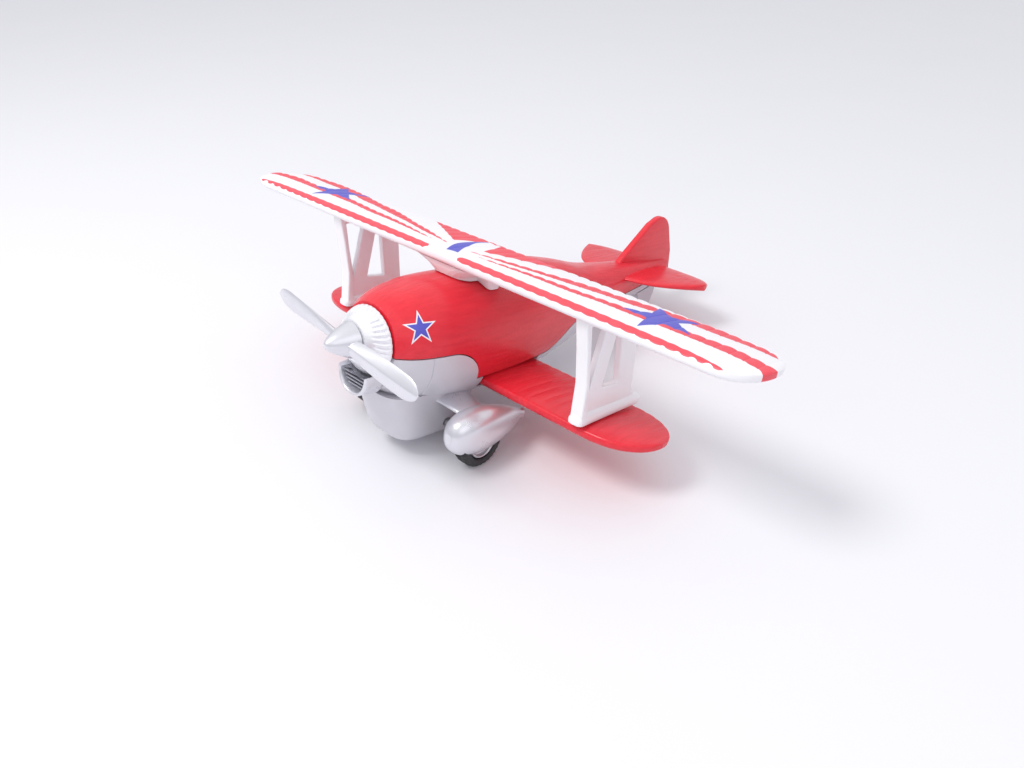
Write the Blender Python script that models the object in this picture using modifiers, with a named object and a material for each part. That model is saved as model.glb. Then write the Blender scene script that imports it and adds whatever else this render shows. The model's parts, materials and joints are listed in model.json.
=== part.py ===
"""A die-cast toy biplane with a pull-back motor, standing on its wheels.

Lengths are in metres. The aircraft is laid out level, with its nose towards -Y, its left
wing towards +X and its origin at the middle of the upper wing's trailing edge. An empty
then pitches it nose-up, so that it stands on its main wheels and its tail wheel.
"""
import math

import bmesh
import bpy
from mathutils import Matrix, Vector

GAP = 0.0003

# Stance
NOSE_UP = math.radians(11)

# Upper wing
UPPER_HALF_SPAN = 0.0826
UPPER_CHORD = 0.0202
UPPER_TIP_LENGTH = 0.0095
UPPER_THICKNESS = 0.0029
UPPER_TOP_Z = 0.0006

# Lower wing
LOWER_HALF_SPAN = 0.0585
LOWER_LEADING_Y = -0.0132
LOWER_CHORD = 0.0218
LOWER_TIP_LENGTH = 0.016
LOWER_THICKNESS = 0.0030
LOWER_TOP_Z = -0.0285

# Thrust line and propeller
THRUST_Z = -0.0172
PROP_DISC_Y = -0.0460
PROP_RADIUS = 0.0254
BLADE_ROOT = 0.0020
BLADE_ROOT_WIDTH = 0.0034
BLADE_WIDTH = 0.0054
BLADE_ROOT_THICKNESS = 0.0026
BLADE_TIP_THICKNESS = 0.0013
BLADE_ROOT_TWIST = math.radians(-24)
BLADE_TIP_TWIST = math.radians(-8)
BLADE_ROUNDNESS = 1.45
PROP_ANGLE = math.radians(7)
SPINNER_TIP_Y = -0.0512
SPINNER_BASE_Y = -0.0443
SPINNER_RADIUS = 0.0043
SPINNER_NOSE_RADIUS = 0.0003
SPINNER_FULLNESS = 0.62
SHAFT_RADIUS = 0.0010

# Fluted nose cone in front of the body, oval at the back and round in front
CONE_FRONT_Y = -0.0437
CONE_BACK_Y = -0.0390
CONE_FRONT_RADIUS = 0.0046
CONE_HALF_WIDTH = 0.0084
CONE_HALF_HEIGHT = 0.0082
CONE_BACK_Z = -0.0182
CONE_FLUTES = 36
CONE_FLUTE_DEPTH = 0.0003

# Air intake under the nose
INTAKE_FRONT_Y = -0.0436
INTAKE_Z = -0.0250
INTAKE_HALF_WIDTH = 0.0052
INTAKE_HALF_HEIGHT = 0.0060
INTAKE_WALL = 0.0009
INTAKE_DEPTH = 0.0034
INTAKE_LOUVRES = 5

# Body stations from nose to tail: y, top z, bottom z, half width
BODY_STATIONS = (
    (-0.0386, -0.0096, -0.0292, 0.0088),
    (-0.0358, -0.0081, -0.0314, 0.0109),
    (-0.0315, -0.0069, -0.0334, 0.0126),
    (-0.0240, -0.0059, -0.0352, 0.0139),
    (-0.0120, -0.0058, -0.0362, 0.0142),
    (0.0000, -0.0060, -0.0362, 0.0135),
    (0.0110, -0.0054, -0.0350, 0.0122),
    (0.0230, -0.0072, -0.0322, 0.0105),
    (0.0350, -0.0100, -0.0290, 0.0086),
    (0.0470, -0.0114, -0.0262, 0.0068),
    (0.0590, -0.0122, -0.0240, 0.0052),
    (0.0690, -0.0128, -0.0220, 0.0040),
    (0.0780, -0.0134, -0.0198, 0.0027),
)
BODY_RING_POINTS = 44
BODY_STEPS = 30
BODY_ROUNDNESS = 2.35

# Where the red body meets the silver base, seen from the side: y, z
SEAM_NOSE_Z = -0.0197
SEAM_FRONT_Y = -0.0255
SEAM_WING_Z = -0.0282
SEAM_WING_FRONT_Y = -0.0160
SEAM_WING_BACK_Y = 0.0120
SEAM_REAR_Y = 0.0260
SEAM_REAR_Z = -0.0215
SEAM_TAIL_Z = -0.0160

# Cockpit opening
COCKPIT_Y = 0.0072
COCKPIT_HALF_WIDTH = 0.0041
COCKPIT_HALF_LENGTH = 0.0040
COCKPIT_FLOOR_Z = -0.0094

# Main wheels
AXLE_Y = -0.0200
AXLE_Z = -0.0410
AXLE_RADIUS = 0.0009
WHEEL_X = 0.0195
WHEEL_RADIUS = 0.0065
WHEEL_WIDTH = 0.0046
HUB_RADIUS = 0.0040
SPAT_WALL = 0.0014
SPAT_CLEARANCE = 0.0007

# Motor and its housing under the body
MOTOR_FRONT_Y = -0.0310
MOTOR_BACK_Y = -0.0150
MOTOR_BOTTOM_Z = -0.0426
MOTOR_TOP_Z = -0.0325
MOTOR_HALF_WIDTH = 0.0062

# Sections of the housing, from its flat underside up into the body: z, half width, half length
HOUSING_SECTIONS = (
    (-0.0448, 0.0056, 0.0080),
    (-0.0445, 0.0064, 0.0088),
    (-0.0439, 0.0072, 0.0097),
    (-0.0426, 0.0080, 0.0106),
    (-0.0400, 0.0086, 0.0116),
    (-0.0360, 0.0092, 0.0130),
    (-0.0310, 0.0096, 0.0150),
)
HOUSING_ROUNDNESS = 4.0

# Tail
TAIL_HALF_SPAN = 0.0225
TAIL_Z = -0.0152
TAIL_THICKNESS = 0.0020
FIN_THICKNESS = 0.0022
TAIL_WHEEL_Y = 0.0690
TAIL_WHEEL_RADIUS = 0.0034
TAIL_WHEEL_WIDTH = 0.0024
TAIL_AXLE_RADIUS = 0.0006

# Struts between the wings
STRUT_X = 0.0424
STRUT_THICKNESS = 0.0034
STRUT_PLATE_THICKNESS = 0.0018
STRUT_BEVEL = 0.0003

CYLINDER_SIDES = 32


def clear_scene():
    for obj in list(bpy.data.objects):
        bpy.data.objects.remove(obj, do_unlink=True)


def make_collection(name):
    collection = bpy.data.collections.new(name)
    bpy.context.scene.collection.children.link(collection)
    return collection


def make_material(name, colour, roughness, metallic=0.0, alpha=1.0):
    material = bpy.data.materials.new(name)
    material.use_nodes = True
    shader = material.node_tree.nodes["Principled BSDF"]
    shader.inputs["Base Color"].default_value = (*colour, 1.0)
    shader.inputs["Roughness"].default_value = roughness
    shader.inputs["Metallic"].default_value = metallic
    shader.inputs["Alpha"].default_value = alpha
    return material


def add_object(name, bm, collection, material=None, parent=None):
    """Turn a bmesh into an object with its faces pointing out."""
    bmesh.ops.recalc_face_normals(bm, faces=bm.faces)
    mesh = bpy.data.meshes.new(name)
    bm.to_mesh(mesh)
    bm.free()
    mesh.shade_smooth()
    mesh.set_sharp_from_angle(angle=math.radians(35))
    obj = bpy.data.objects.new(name, mesh)
    collection.objects.link(obj)
    if material:
        mesh.materials.append(material)
    obj.parent = parent
    return obj


def hide_cutter(obj):
    obj.hide_render = True
    obj.display_type = 'WIRE'


def combine(obj, other, operation):
    """Add a Boolean modifier that cuts obj by other, joins it or keeps what they share."""
    modifier = obj.modifiers.new(operation.lower() + "_" + other.name, 'BOOLEAN')
    modifier.operation = operation
    modifier.object = other
    modifier.solver = 'EXACT'
    hide_cutter(other)


def smooth_value(stations, column, y):
    """Read one column of the stations at y, on a smooth curve through them."""
    last = len(stations) - 1
    if y <= stations[0][0]:
        return stations[0][column]
    if y >= stations[last][0]:
        return stations[last][column]
    i = max(k for k in range(last) if stations[k][0] <= y)
    y0 = stations[i][0]
    y1 = stations[i + 1][0]
    v0 = stations[i][column]
    v1 = stations[i + 1][column]
    slopes = []
    for k in (i, i + 1):
        before = stations[max(k - 1, 0)]
        after = stations[min(k + 1, last)]
        slopes.append((after[column] - before[column]) / (after[0] - before[0]))
    t = (y - y0) / (y1 - y0)
    step = y1 - y0
    h00 = 2 * t**3 - 3 * t**2 + 1
    h10 = t**3 - 2 * t**2 + t
    h01 = -2 * t**3 + 3 * t**2
    h11 = t**3 - t**2
    return h00 * v0 + h10 * step * slopes[0] + h01 * v1 + h11 * step * slopes[1]


def oval_ring(y, centre_z, half_width, half_height, roundness, points, centre_x=0.0):
    """Points of a superellipse in the plane at y; roundness 2 is an ellipse."""
    ring = []
    for k in range(points):
        angle = 2 * math.pi * k / points
        cos_a = math.cos(angle)
        sin_a = math.sin(angle)
        x = half_width * math.copysign(abs(cos_a) ** (2 / roundness), cos_a)
        z = half_height * math.copysign(abs(sin_a) ** (2 / roundness), sin_a)
        ring.append(Vector((centre_x + x, y, centre_z + z)))
    return ring


def loft(rings):
    """A closed body through rings with the same number of points, capped at both ends."""
    bm = bmesh.new()
    loops = [[bm.verts.new(point) for point in ring] for ring in rings]
    count = len(rings[0])
    for one, two in zip(loops, loops[1:]):
        for k in range(count):
            n = (k + 1) % count
            bm.faces.new((one[k], one[n], two[n], two[k]))
    bm.faces.new(loops[0])
    bm.faces.new(loops[-1])
    return bm


def turned_object(name, profile, steps, collection, material=None, parent=None, closed=False):
    """Turn a profile of radius and height about the object's own Z axis with a Screw modifier."""
    mesh = bpy.data.meshes.new(name)
    count = len(profile)
    edges = [(k, k + 1) for k in range(count - 1)]
    if closed:
        edges.append((count - 1, 0))
    mesh.from_pydata([(radius, 0.0, height) for radius, height in profile], edges, [])
    obj = bpy.data.objects.new(name, mesh)
    collection.objects.link(obj)
    if material:
        mesh.materials.append(material)
    obj.parent = parent
    modifier = obj.modifiers.new("turn", 'SCREW')
    modifier.axis = 'Z'
    modifier.steps = steps
    modifier.render_steps = steps
    modifier.use_merge_vertices = True
    modifier.merge_threshold = 0.00001
    modifier.use_smooth_shade = True
    return obj


def cylinder_bm(radius, length, axis='X', sides=CYLINDER_SIDES, centre=(0, 0, 0)):
    bm = bmesh.new()
    bmesh.ops.create_cone(bm, cap_ends=True, segments=sides, radius1=radius, radius2=radius, depth=length)
    turn = {'X': Matrix.Rotation(math.pi / 2, 4, 'Y'), 'Y': Matrix.Rotation(math.pi / 2, 4, 'X'),
            'Z': Matrix.Identity(4)}[axis]
    bmesh.ops.transform(bm, matrix=Matrix.Translation(centre) @ turn, verts=bm.verts)
    return bm


def box_bm(low, high):
    bm = bmesh.new()
    bmesh.ops.create_cube(bm, size=1.0)
    low = Vector(low)
    size = Vector(high) - low
    bmesh.ops.scale(bm, vec=size, verts=bm.verts)
    bmesh.ops.translate(bm, vec=low + size / 2, verts=bm.verts)
    return bm


def outline_bm(points, thickness, holes=(), bevel=0.0):
    """A flat outline in the YZ plane with holes, centred on x = 0, made from a 2D curve."""
    curve = bpy.data.curves.new("outline", 'CURVE')
    curve.dimensions = '2D'
    curve.fill_mode = 'BOTH'
    curve.extrude = thickness / 2 - bevel
    curve.bevel_depth = bevel
    curve.bevel_resolution = 1
    for loop in (points, *holes):
        spline = curve.splines.new('POLY')
        spline.points.add(len(loop) - 1)
        for point, (y, z) in zip(spline.points, loop):
            point.co = (y, z, 0.0, 1.0)
        spline.use_cyclic_u = True
    obj = bpy.data.objects.new("outline", curve)
    bpy.context.scene.collection.objects.link(obj)
    depsgraph = bpy.context.evaluated_depsgraph_get()
    mesh = bpy.data.meshes.new_from_object(obj.evaluated_get(depsgraph))
    bm = bmesh.new()
    bm.from_mesh(mesh)
    bmesh.ops.remove_doubles(bm, verts=bm.verts, dist=0.00002)
    turn = Matrix(((0, 0, 1, 0), (1, 0, 0, 0), (0, 1, 0, 0), (0, 0, 0, 1)))
    bmesh.ops.transform(bm, matrix=turn, verts=bm.verts)
    bpy.data.objects.remove(obj, do_unlink=True)
    bpy.data.curves.remove(curve)
    bpy.data.meshes.remove(mesh)
    return bm


def arc(centre, radius, start, end, steps):
    """Points of an arc in a 2D outline; angles in degrees."""
    points = []
    for k in range(steps + 1):
        angle = math.radians(start + (end - start) * k / steps)
        points.append((centre[0] + radius * math.cos(angle), centre[1] + radius * math.sin(angle)))
    return points


def rounded_outline(points, radius, steps=4):
    """Round every corner of a 2D outline."""
    result = []
    count = len(points)
    for k in range(count):
        here = Vector(points[k])
        before = Vector(points[k - 1]) - here
        after = Vector(points[(k + 1) % count]) - here
        reach = min(radius, before.length * 0.45, after.length * 0.45)
        start = here + before.normalized() * reach
        end = here + after.normalized() * reach
        for s in range(steps + 1):
            t = s / steps
            point = start * (1 - t) ** 2 + here * 2 * t * (1 - t) + end * t ** 2
            result.append((point.x, point.y))
    return result


def body_bm(offset=0.0):
    """The whole body as one smooth form, grown by offset on all sides."""
    rings = []
    first = BODY_STATIONS[0][0]
    last = BODY_STATIONS[-1][0]
    steps = BODY_STEPS
    for k in range(steps + 1):
        y = first + (last - first) * k / steps
        top = smooth_value(BODY_STATIONS, 1, y) + offset
        bottom = smooth_value(BODY_STATIONS, 2, y) - offset
        half_width = smooth_value(BODY_STATIONS, 3, y) + offset
        place = y
        if k == 0:
            place = y - offset
        if k == steps:
            place = y + offset
        rings.append(oval_ring(place, (top + bottom) / 2, half_width, (top - bottom) / 2,
                               BODY_ROUNDNESS, BODY_RING_POINTS))
    return loft(rings)


def seam_outline(drop):
    """Side outline of everything below the seam, moved down by drop."""
    low = -0.080
    points = [(-0.060, low), (-0.060, SEAM_NOSE_Z - drop), (SEAM_FRONT_Y, SEAM_NOSE_Z - drop)]
    reach = SEAM_WING_FRONT_Y - SEAM_FRONT_Y
    fall = SEAM_NOSE_Z - SEAM_WING_Z
    steps = 8
    for k in range(1, steps + 1):
        angle = math.pi / 2 * k / steps
        points.append((SEAM_FRONT_Y + (reach - drop) * math.sin(angle),
                       SEAM_WING_Z - drop + fall * math.cos(angle)))
    rise_y = SEAM_REAR_Y - SEAM_WING_BACK_Y
    rise_z = SEAM_REAR_Z - SEAM_WING_Z
    for k in range(steps + 1):
        t = k / steps
        ease = t * t * (3 - 2 * t)
        points.append((SEAM_WING_BACK_Y + rise_y * t, SEAM_WING_Z - drop + rise_z * ease))
    points.append((0.100, SEAM_TAIL_Z - drop))
    points.append((0.100, low))
    return points


def wing_planform(x, half_span, tip_length, leading_y, chord):
    """Leading and trailing edge at a span station, with an elliptic tip."""
    reach = max(0.0, (abs(x) - (half_span - tip_length)) / tip_length)
    factor = math.sqrt(max(0.0, 1 - min(reach, 0.999) ** 2.4))
    middle = leading_y + chord * 0.52
    return middle + (leading_y - middle) * factor, middle + (leading_y + chord - middle) * factor


def wing_section(x, leading_y, trailing_y, top_z, thickness, grow, points=9):
    """A ring around the wing at span station x: a flat-bottomed, cambered section."""
    ring = []
    chord = trailing_y - leading_y
    edge = 0.18
    for k in range(points + 1):
        t = k / points
        bulge = math.sin(math.pi * min(1.0, 0.08 + 0.92 * t) ** 0.62)
        height = thickness * (edge + (1 - edge) * max(0.0, bulge))
        ring.append(Vector((x, leading_y - grow + (chord + 2 * grow) * t, top_z - thickness + height + grow)))
    for k in range(points, -1, -1):
        t = k / points
        ring.append(Vector((x, leading_y - grow + (chord + 2 * grow) * t, top_z - thickness - grow)))
    return ring


def wing_bm(half_span, tip_length, leading_y, chord, top_z, thickness, grow=0.0):
    """A straight wing with rounded tips."""
    stations = []
    inner = half_span - tip_length
    straight = 10
    for k in range(straight + 1):
        stations.append(inner * k / straight)
    tip_steps = 8
    for k in range(1, tip_steps + 1):
        stations.append(inner + tip_length * math.sin(math.pi / 2 * k / tip_steps))
    stations = [-x for x in reversed(stations[1:])] + stations
    rings = []
    for x in stations:
        leading, trailing = wing_planform(x, half_span, tip_length, leading_y, chord)
        thin = thickness * (0.35 + 0.65 * min(1.0, (trailing - leading) / chord))
        ring = wing_section(x + math.copysign(grow, x), leading, trailing, top_z, thin, grow)
        if thin < thickness:
            for point in ring:
                point.z -= (thickness - thin) / 2
        rings.append(ring)
    return loft(rings)


def make_upper_wing(parts, material, parent):
    bm = wing_bm(UPPER_HALF_SPAN, UPPER_TIP_LENGTH, -UPPER_CHORD, UPPER_CHORD, UPPER_TOP_Z, UPPER_THICKNESS)
    return add_object("upper_wing", bm, parts, material, parent)


def lower_wing_form(grow=0.0):
    return wing_bm(LOWER_HALF_SPAN, LOWER_TIP_LENGTH, LOWER_LEADING_Y, LOWER_CHORD, LOWER_TOP_Z,
                   LOWER_THICKNESS, grow)


def make_body(parts, cutters, red, silver, parent):
    """The red upper body and the silver base, cut from one form along the seam."""
    body = add_object("fuselage_body", body_bm(), parts, red, parent)
    base = add_object("belly_base", body_bm(), parts, silver, parent)
    width = 0.06
    below_seam = add_object("below_seam", outline_bm(seam_outline(0.0), width), cutters, None, parent)
    below_base = add_object("below_base", outline_bm(seam_outline(GAP), width), cutters, None, parent)
    combine(body, below_seam, 'DIFFERENCE')
    housing = add_object("motor_housing_form", housing_bm(), cutters, None, parent)
    combine(base, below_base, 'INTERSECT')
    combine(base, housing, 'UNION')
    wing_slot = add_object("wing_slot", lower_wing_form(GAP), cutters, None, parent)
    combine(base, wing_slot, 'DIFFERENCE')
    combine(body, wing_slot, 'DIFFERENCE')
    pocket = add_object("motor_pocket", motor_bm(GAP, open_top=True), cutters, None, parent)
    combine(base, pocket, 'DIFFERENCE')
    axle_hole = add_object("base_axle_hole", cylinder_bm(AXLE_RADIUS + GAP, 0.04, centre=(0, AXLE_Y, AXLE_Z)),
                           cutters, None, parent)
    combine(base, axle_hole, 'DIFFERENCE')
    shaft_length = 0.020
    hole_place = (0, CONE_BACK_Y + shaft_length / 2 - 0.008, THRUST_Z)
    shaft_form = cylinder_bm(SHAFT_RADIUS + GAP, shaft_length, 'Y', centre=hole_place)
    shaft_hole = add_object("shaft_hole", shaft_form, cutters, None, parent)
    combine(body, shaft_hole, 'DIFFERENCE')
    cockpit = add_object("cockpit_opening", cockpit_bm(), cutters, None, parent)
    combine(body, cockpit, 'DIFFERENCE')
    return body, base, shaft_hole


def cockpit_bm():
    """The shallow opening of the cockpit, rounded in plan and at its floor."""
    rings = []
    for z, grow in ((COCKPIT_FLOOR_Z, -0.0009), (COCKPIT_FLOOR_Z + 0.0002, -0.0005),
                    (COCKPIT_FLOOR_Z + 0.0008, 0.0), (UPPER_TOP_Z, 0.0)):
        ring = []
        for point in oval_ring(0.0, 0.0, COCKPIT_HALF_WIDTH + grow, COCKPIT_HALF_LENGTH + grow, 2.3, 28):
            ring.append(Vector((point.x, COCKPIT_Y + point.z, z)))
        rings.append(ring)
    return loft(rings)


def housing_bm(grow=0.0):
    """The rounded form under the belly that holds the motor, with a flat underside."""
    middle_y = (MOTOR_FRONT_Y + MOTOR_BACK_Y) / 2
    rings = []
    for z, half_width, half_length in HOUSING_SECTIONS:
        ring = []
        for point in oval_ring(0.0, 0.0, half_length + grow, half_width + grow, HOUSING_ROUNDNESS, 40):
            ring.append(Vector((point.z, middle_y + point.x, z)))
        rings.append(ring)
    for point in rings[0]:
        point.z -= grow
    return loft(rings)


def motor_bm(grow=0.0, open_top=False):
    top = -0.010 if open_top else MOTOR_TOP_Z
    low = (-MOTOR_HALF_WIDTH - grow, MOTOR_FRONT_Y - grow, MOTOR_BOTTOM_Z - grow)
    high = (MOTOR_HALF_WIDTH + grow, MOTOR_BACK_Y + grow, top)
    return box_bm(low, high)


def make_nose_cone(parts, cutters, material, shaft_hole, parent):
    """The fluted cone between the propeller and the body."""
    points = CONE_FLUTES * 4
    length = CONE_BACK_Y - CONE_FRONT_Y
    rings = []
    profile = ((0.0, 0.90, 0.0), (0.06, 1.0, 0.0), (0.14, 1.0, 0.0), (0.26, 1.0, 1.0), (0.48, 1.0, 1.0),
               (0.70, 1.0, 1.0), (0.80, 1.0, 0.0), (0.90, 1.0, 0.0), (1.0, 1.0, 0.0))
    for along, scale, flute in profile:
        spread = math.sin(math.pi / 2 * along)
        half_width = scale * (CONE_FRONT_RADIUS + (CONE_HALF_WIDTH - CONE_FRONT_RADIUS) * spread)
        half_height = scale * (CONE_FRONT_RADIUS + (CONE_HALF_HEIGHT - CONE_FRONT_RADIUS) * spread)
        centre_z = THRUST_Z + (CONE_BACK_Z - THRUST_Z) * spread
        ring = []
        for k in range(points):
            angle = 2 * math.pi * k / points
            dip = CONE_FLUTE_DEPTH * flute * (0.5 - 0.5 * math.cos(angle * CONE_FLUTES))
            ring.append(Vector(((half_width - dip) * math.cos(angle), CONE_FRONT_Y + length * along,
                                centre_z + (half_height - dip) * math.sin(angle))))
        rings.append(ring)
    cone = add_object("nose_cone", loft(rings), parts, material, parent)
    combine(cone, shaft_hole, 'DIFFERENCE')
    return cone


def intake_ring(y, inset):
    centre_z = INTAKE_Z + (y - INTAKE_FRONT_Y) * 0.08
    return oval_ring(y, centre_z, INTAKE_HALF_WIDTH - inset, INTAKE_HALF_HEIGHT - inset, 2.3, 28)


def make_intake(parts, cutters, silver, dark, parent):
    """The oval intake under the nose with slats across its mouth."""
    back = BODY_STATIONS[0][0] - GAP
    rings = [intake_ring(INTAKE_FRONT_Y, 0.0003), intake_ring(INTAKE_FRONT_Y + 0.0005, 0.0),
             intake_ring(INTAKE_FRONT_Y + 0.0014, 0.0), intake_ring(back, -0.0004)]
    intake = add_object("chin_intake", loft(rings), parts, silver, parent)
    mouth = add_object("intake_mouth", loft([intake_ring(INTAKE_FRONT_Y - 0.002, INTAKE_WALL),
                       intake_ring(INTAKE_FRONT_Y + INTAKE_DEPTH, INTAKE_WALL)]), cutters, None, parent)
    combine(intake, mouth, 'DIFFERENCE')
    cone_room = add_object("cone_room", loft([
        oval_ring(CONE_FRONT_Y - 0.008, CONE_BACK_Z, CONE_HALF_WIDTH + GAP, CONE_HALF_HEIGHT + GAP, 2.0, 48),
        oval_ring(CONE_BACK_Y + GAP, CONE_BACK_Z, CONE_HALF_WIDTH + GAP, CONE_HALF_HEIGHT + GAP, 2.0, 48)]),
        cutters, None, parent)
    combine(intake, cone_room, 'DIFFERENCE')
    inner = INTAKE_WALL + GAP
    plate_y = INTAKE_FRONT_Y + INTAKE_DEPTH - GAP
    plate = loft([intake_ring(plate_y - 0.0012, inner), intake_ring(plate_y, inner)])
    grille = add_object("intake_grille", plate, parts, dark, parent)
    slats = bmesh.new()
    pitch = 2 * (INTAKE_HALF_HEIGHT - inner) / (INTAKE_LOUVRES + 1)
    for k in range(INTAKE_LOUVRES):
        z = INTAKE_Z - INTAKE_HALF_HEIGHT + inner + pitch * (k + 1)
        slat = box_bm((-INTAKE_HALF_WIDTH, -0.0013, -0.00035), (INTAKE_HALF_WIDTH, 0.0013, 0.00035))
        tilt = Matrix.Translation((0, plate_y - 0.0018, z)) @ Matrix.Rotation(math.radians(-24), 4, 'X')
        bmesh.ops.transform(slat, matrix=tilt, verts=slat.verts)
        mesh = bpy.data.meshes.new("slat")
        slat.to_mesh(mesh)
        slat.free()
        slats.from_mesh(mesh)
        bpy.data.meshes.remove(mesh)
    bars = add_object("intake_slats", slats, cutters, None, parent)
    combine(grille, bars, 'UNION')
    room = add_object("grille_room", loft([intake_ring(INTAKE_FRONT_Y - 0.002, inner),
                      intake_ring(plate_y, inner)]), cutters, None, parent)
    combine(grille, room, 'INTERSECT')
    combine(grille, cone_room, 'DIFFERENCE')


def blade_bm():
    """One propeller blade along +X: root to tip, twisted, ridged along its middle, with a round tip."""
    rings = []
    steps = 14
    full_width_at = 0.65
    tip_starts = 0.78
    narrowest = 0.12
    for k in range(steps + 1):
        r = BLADE_ROOT + (PROP_RADIUS - BLADE_ROOT) * math.sin(math.pi / 2 * k / steps)
        u = (r - BLADE_ROOT) / (PROP_RADIUS - BLADE_ROOT)
        spread = math.sin(math.pi / 2 * min(1.0, u / full_width_at))
        width = BLADE_ROOT_WIDTH + (BLADE_WIDTH - BLADE_ROOT_WIDTH) * spread
        tip = math.sqrt(max(0.0, 1 - max(0.0, (u - tip_starts) / (1 - tip_starts)) ** 2))
        width *= max(narrowest, tip)
        thick = BLADE_ROOT_THICKNESS + (BLADE_TIP_THICKNESS - BLADE_ROOT_THICKNESS) * u
        thick *= max(0.4, tip)
        twist = BLADE_ROOT_TWIST + (BLADE_TIP_TWIST - BLADE_ROOT_TWIST) * u
        ring = []
        for point in oval_ring(0.0, 0.0, width / 2, thick / 2, BLADE_ROUNDNESS, 16):
            ring.append(Vector((r, point.z * math.cos(twist) - point.x * math.sin(twist),
                                point.x * math.cos(twist) + point.z * math.sin(twist))))
        rings.append(ring)
    return loft(rings)


def spinner_profile():
    """Outer side of the spinner from its tip down to the axis at its base: radius, height."""
    tip = PROP_DISC_Y - SPINNER_TIP_Y
    base = PROP_DISC_Y - SPINNER_BASE_Y
    profile = [(0.0, tip)]
    steps = 12
    for k in range(steps + 1):
        t = (k / steps) ** 1.5
        grown = (SPINNER_RADIUS - SPINNER_NOSE_RADIUS) * t ** SPINNER_FULLNESS
        profile.append((SPINNER_NOSE_RADIUS + grown, tip + (base - tip) * t))
    profile.append((0.0, base))
    return profile


def make_propeller(parts, cutters, silver, steel, hub):
    """Spinner and two blades as one moulding, and the steel shaft behind it."""
    propeller = turned_object("propeller", spinner_profile(), 40, parts, silver, hub)
    propeller.rotation_euler = (math.pi / 2, 0, 0)
    for name, turn in (("blade_one", 0.0), ("blade_two", math.pi)):
        blade = add_object(name, blade_bm(), cutters, None, hub)
        blade.rotation_euler = (0, turn, 0)
        combine(propeller, blade, 'UNION')
    shaft_front = SPINNER_BASE_Y - PROP_DISC_Y + GAP
    shaft_length = 0.0120
    shaft = cylinder_bm(SHAFT_RADIUS, shaft_length, 'Y', 20, (0, shaft_front + shaft_length / 2, 0))
    add_object("propeller_shaft", shaft, parts, steel, hub)


def make_pylon(parts, cutters, material, parent):
    """The saddle that carries the upper wing on the body, with a foot on each side."""
    wing_under = UPPER_TOP_Z - UPPER_THICKNESS - GAP
    sections = ((-0.0090, 0.0052, -0.0160, -0.0040), (-0.0054, 0.0060, -0.0178, -0.0032),
                (-0.0040, 0.0078, -0.0184, -0.0028), (wing_under, 0.0118, -0.0188, -0.0024))
    rings = []
    for z, half_width, front, back in sections:
        ring = []
        middle = (front + back) / 2
        half = (back - front) / 2
        for y, x in rounded_outline(((-half, -half_width), (half, -half_width), (half, half_width),
                                     (-half, half_width)), 0.0050, 5):
            ring.append(Vector((x, middle + y, z)))
        rings.append(ring)
    pylon = add_object("centre_pylon", loft(rings), parts, material, parent)
    for name, side in (("left", 1), ("right", -1)):
        foot = add_object("pylon_foot_" + name, pylon_foot_bm(side, wing_under), cutters, None, parent)
        combine(pylon, foot, 'UNION')
    room = add_object("body_room", body_bm(GAP), cutters, None, parent)
    combine(pylon, room, 'DIFFERENCE')


def pylon_foot_bm(side, top):
    """A foot of the saddle, wide at the wing and narrow where it meets the body."""
    rings = []
    for z, outer, front, back in ((-0.0094, 0.0086, -0.0104, -0.0076), (-0.0070, 0.0092, -0.0116, -0.0068),
                                  (top - 0.0004, 0.0104, -0.0136, -0.0050)):
        ring = []
        for y, x in rounded_outline(((front, 0.0010), (back, 0.0010), (back, outer), (front, outer)), 0.0012):
            ring.append(Vector((side * x, y, z)))
        rings.append(ring)
    return loft(rings)


def strut_outlines():
    """Side outlines of the N strut's thin plate and of the plate's openings."""
    top = UPPER_TOP_Z - UPPER_THICKNESS - GAP - STRUT_BEVEL
    bottom = LOWER_TOP_Z + GAP + 0.0007
    plate = [(-0.0176, top - 0.0001), (-0.0003, top - 0.0001), (0.0015, -0.0060), (0.0032, -0.0120),
             (0.0050, bottom + 0.0030), (0.0078, bottom), (-0.0134, bottom), (-0.0138, -0.0180)]
    front_gap = [(-0.0160, -0.0043), (-0.0088, -0.0043), (-0.0119, -0.0212)]
    rear_gap = [(-0.0050, -0.0047), (-0.0034, -0.0047), (-0.0006, -0.0213), (-0.0076, -0.0208)]
    holes = [rounded_outline(front_gap, 0.0012), rounded_outline(rear_gap, 0.0010)]
    return rounded_outline(plate, 0.0012), holes


def strut_leg_bm(side):
    """The thick front leg of a strut, with rounded edges."""
    half = STRUT_THICKNESS / 2
    rings = []
    for z, front, back in ((-0.0270, -0.0142, -0.0119), (-0.0185, -0.0144, -0.0131),
                           (UPPER_TOP_Z - UPPER_THICKNESS - GAP, -0.0181, -0.0162)):
        ring = []
        for y, x in rounded_outline(((front, -half), (back, -half), (back, half), (front, half)), 0.0005, 3):
            ring.append(Vector((side * (STRUT_X + x), y, z)))
        rings.append(ring)
    return loft(rings)


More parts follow.
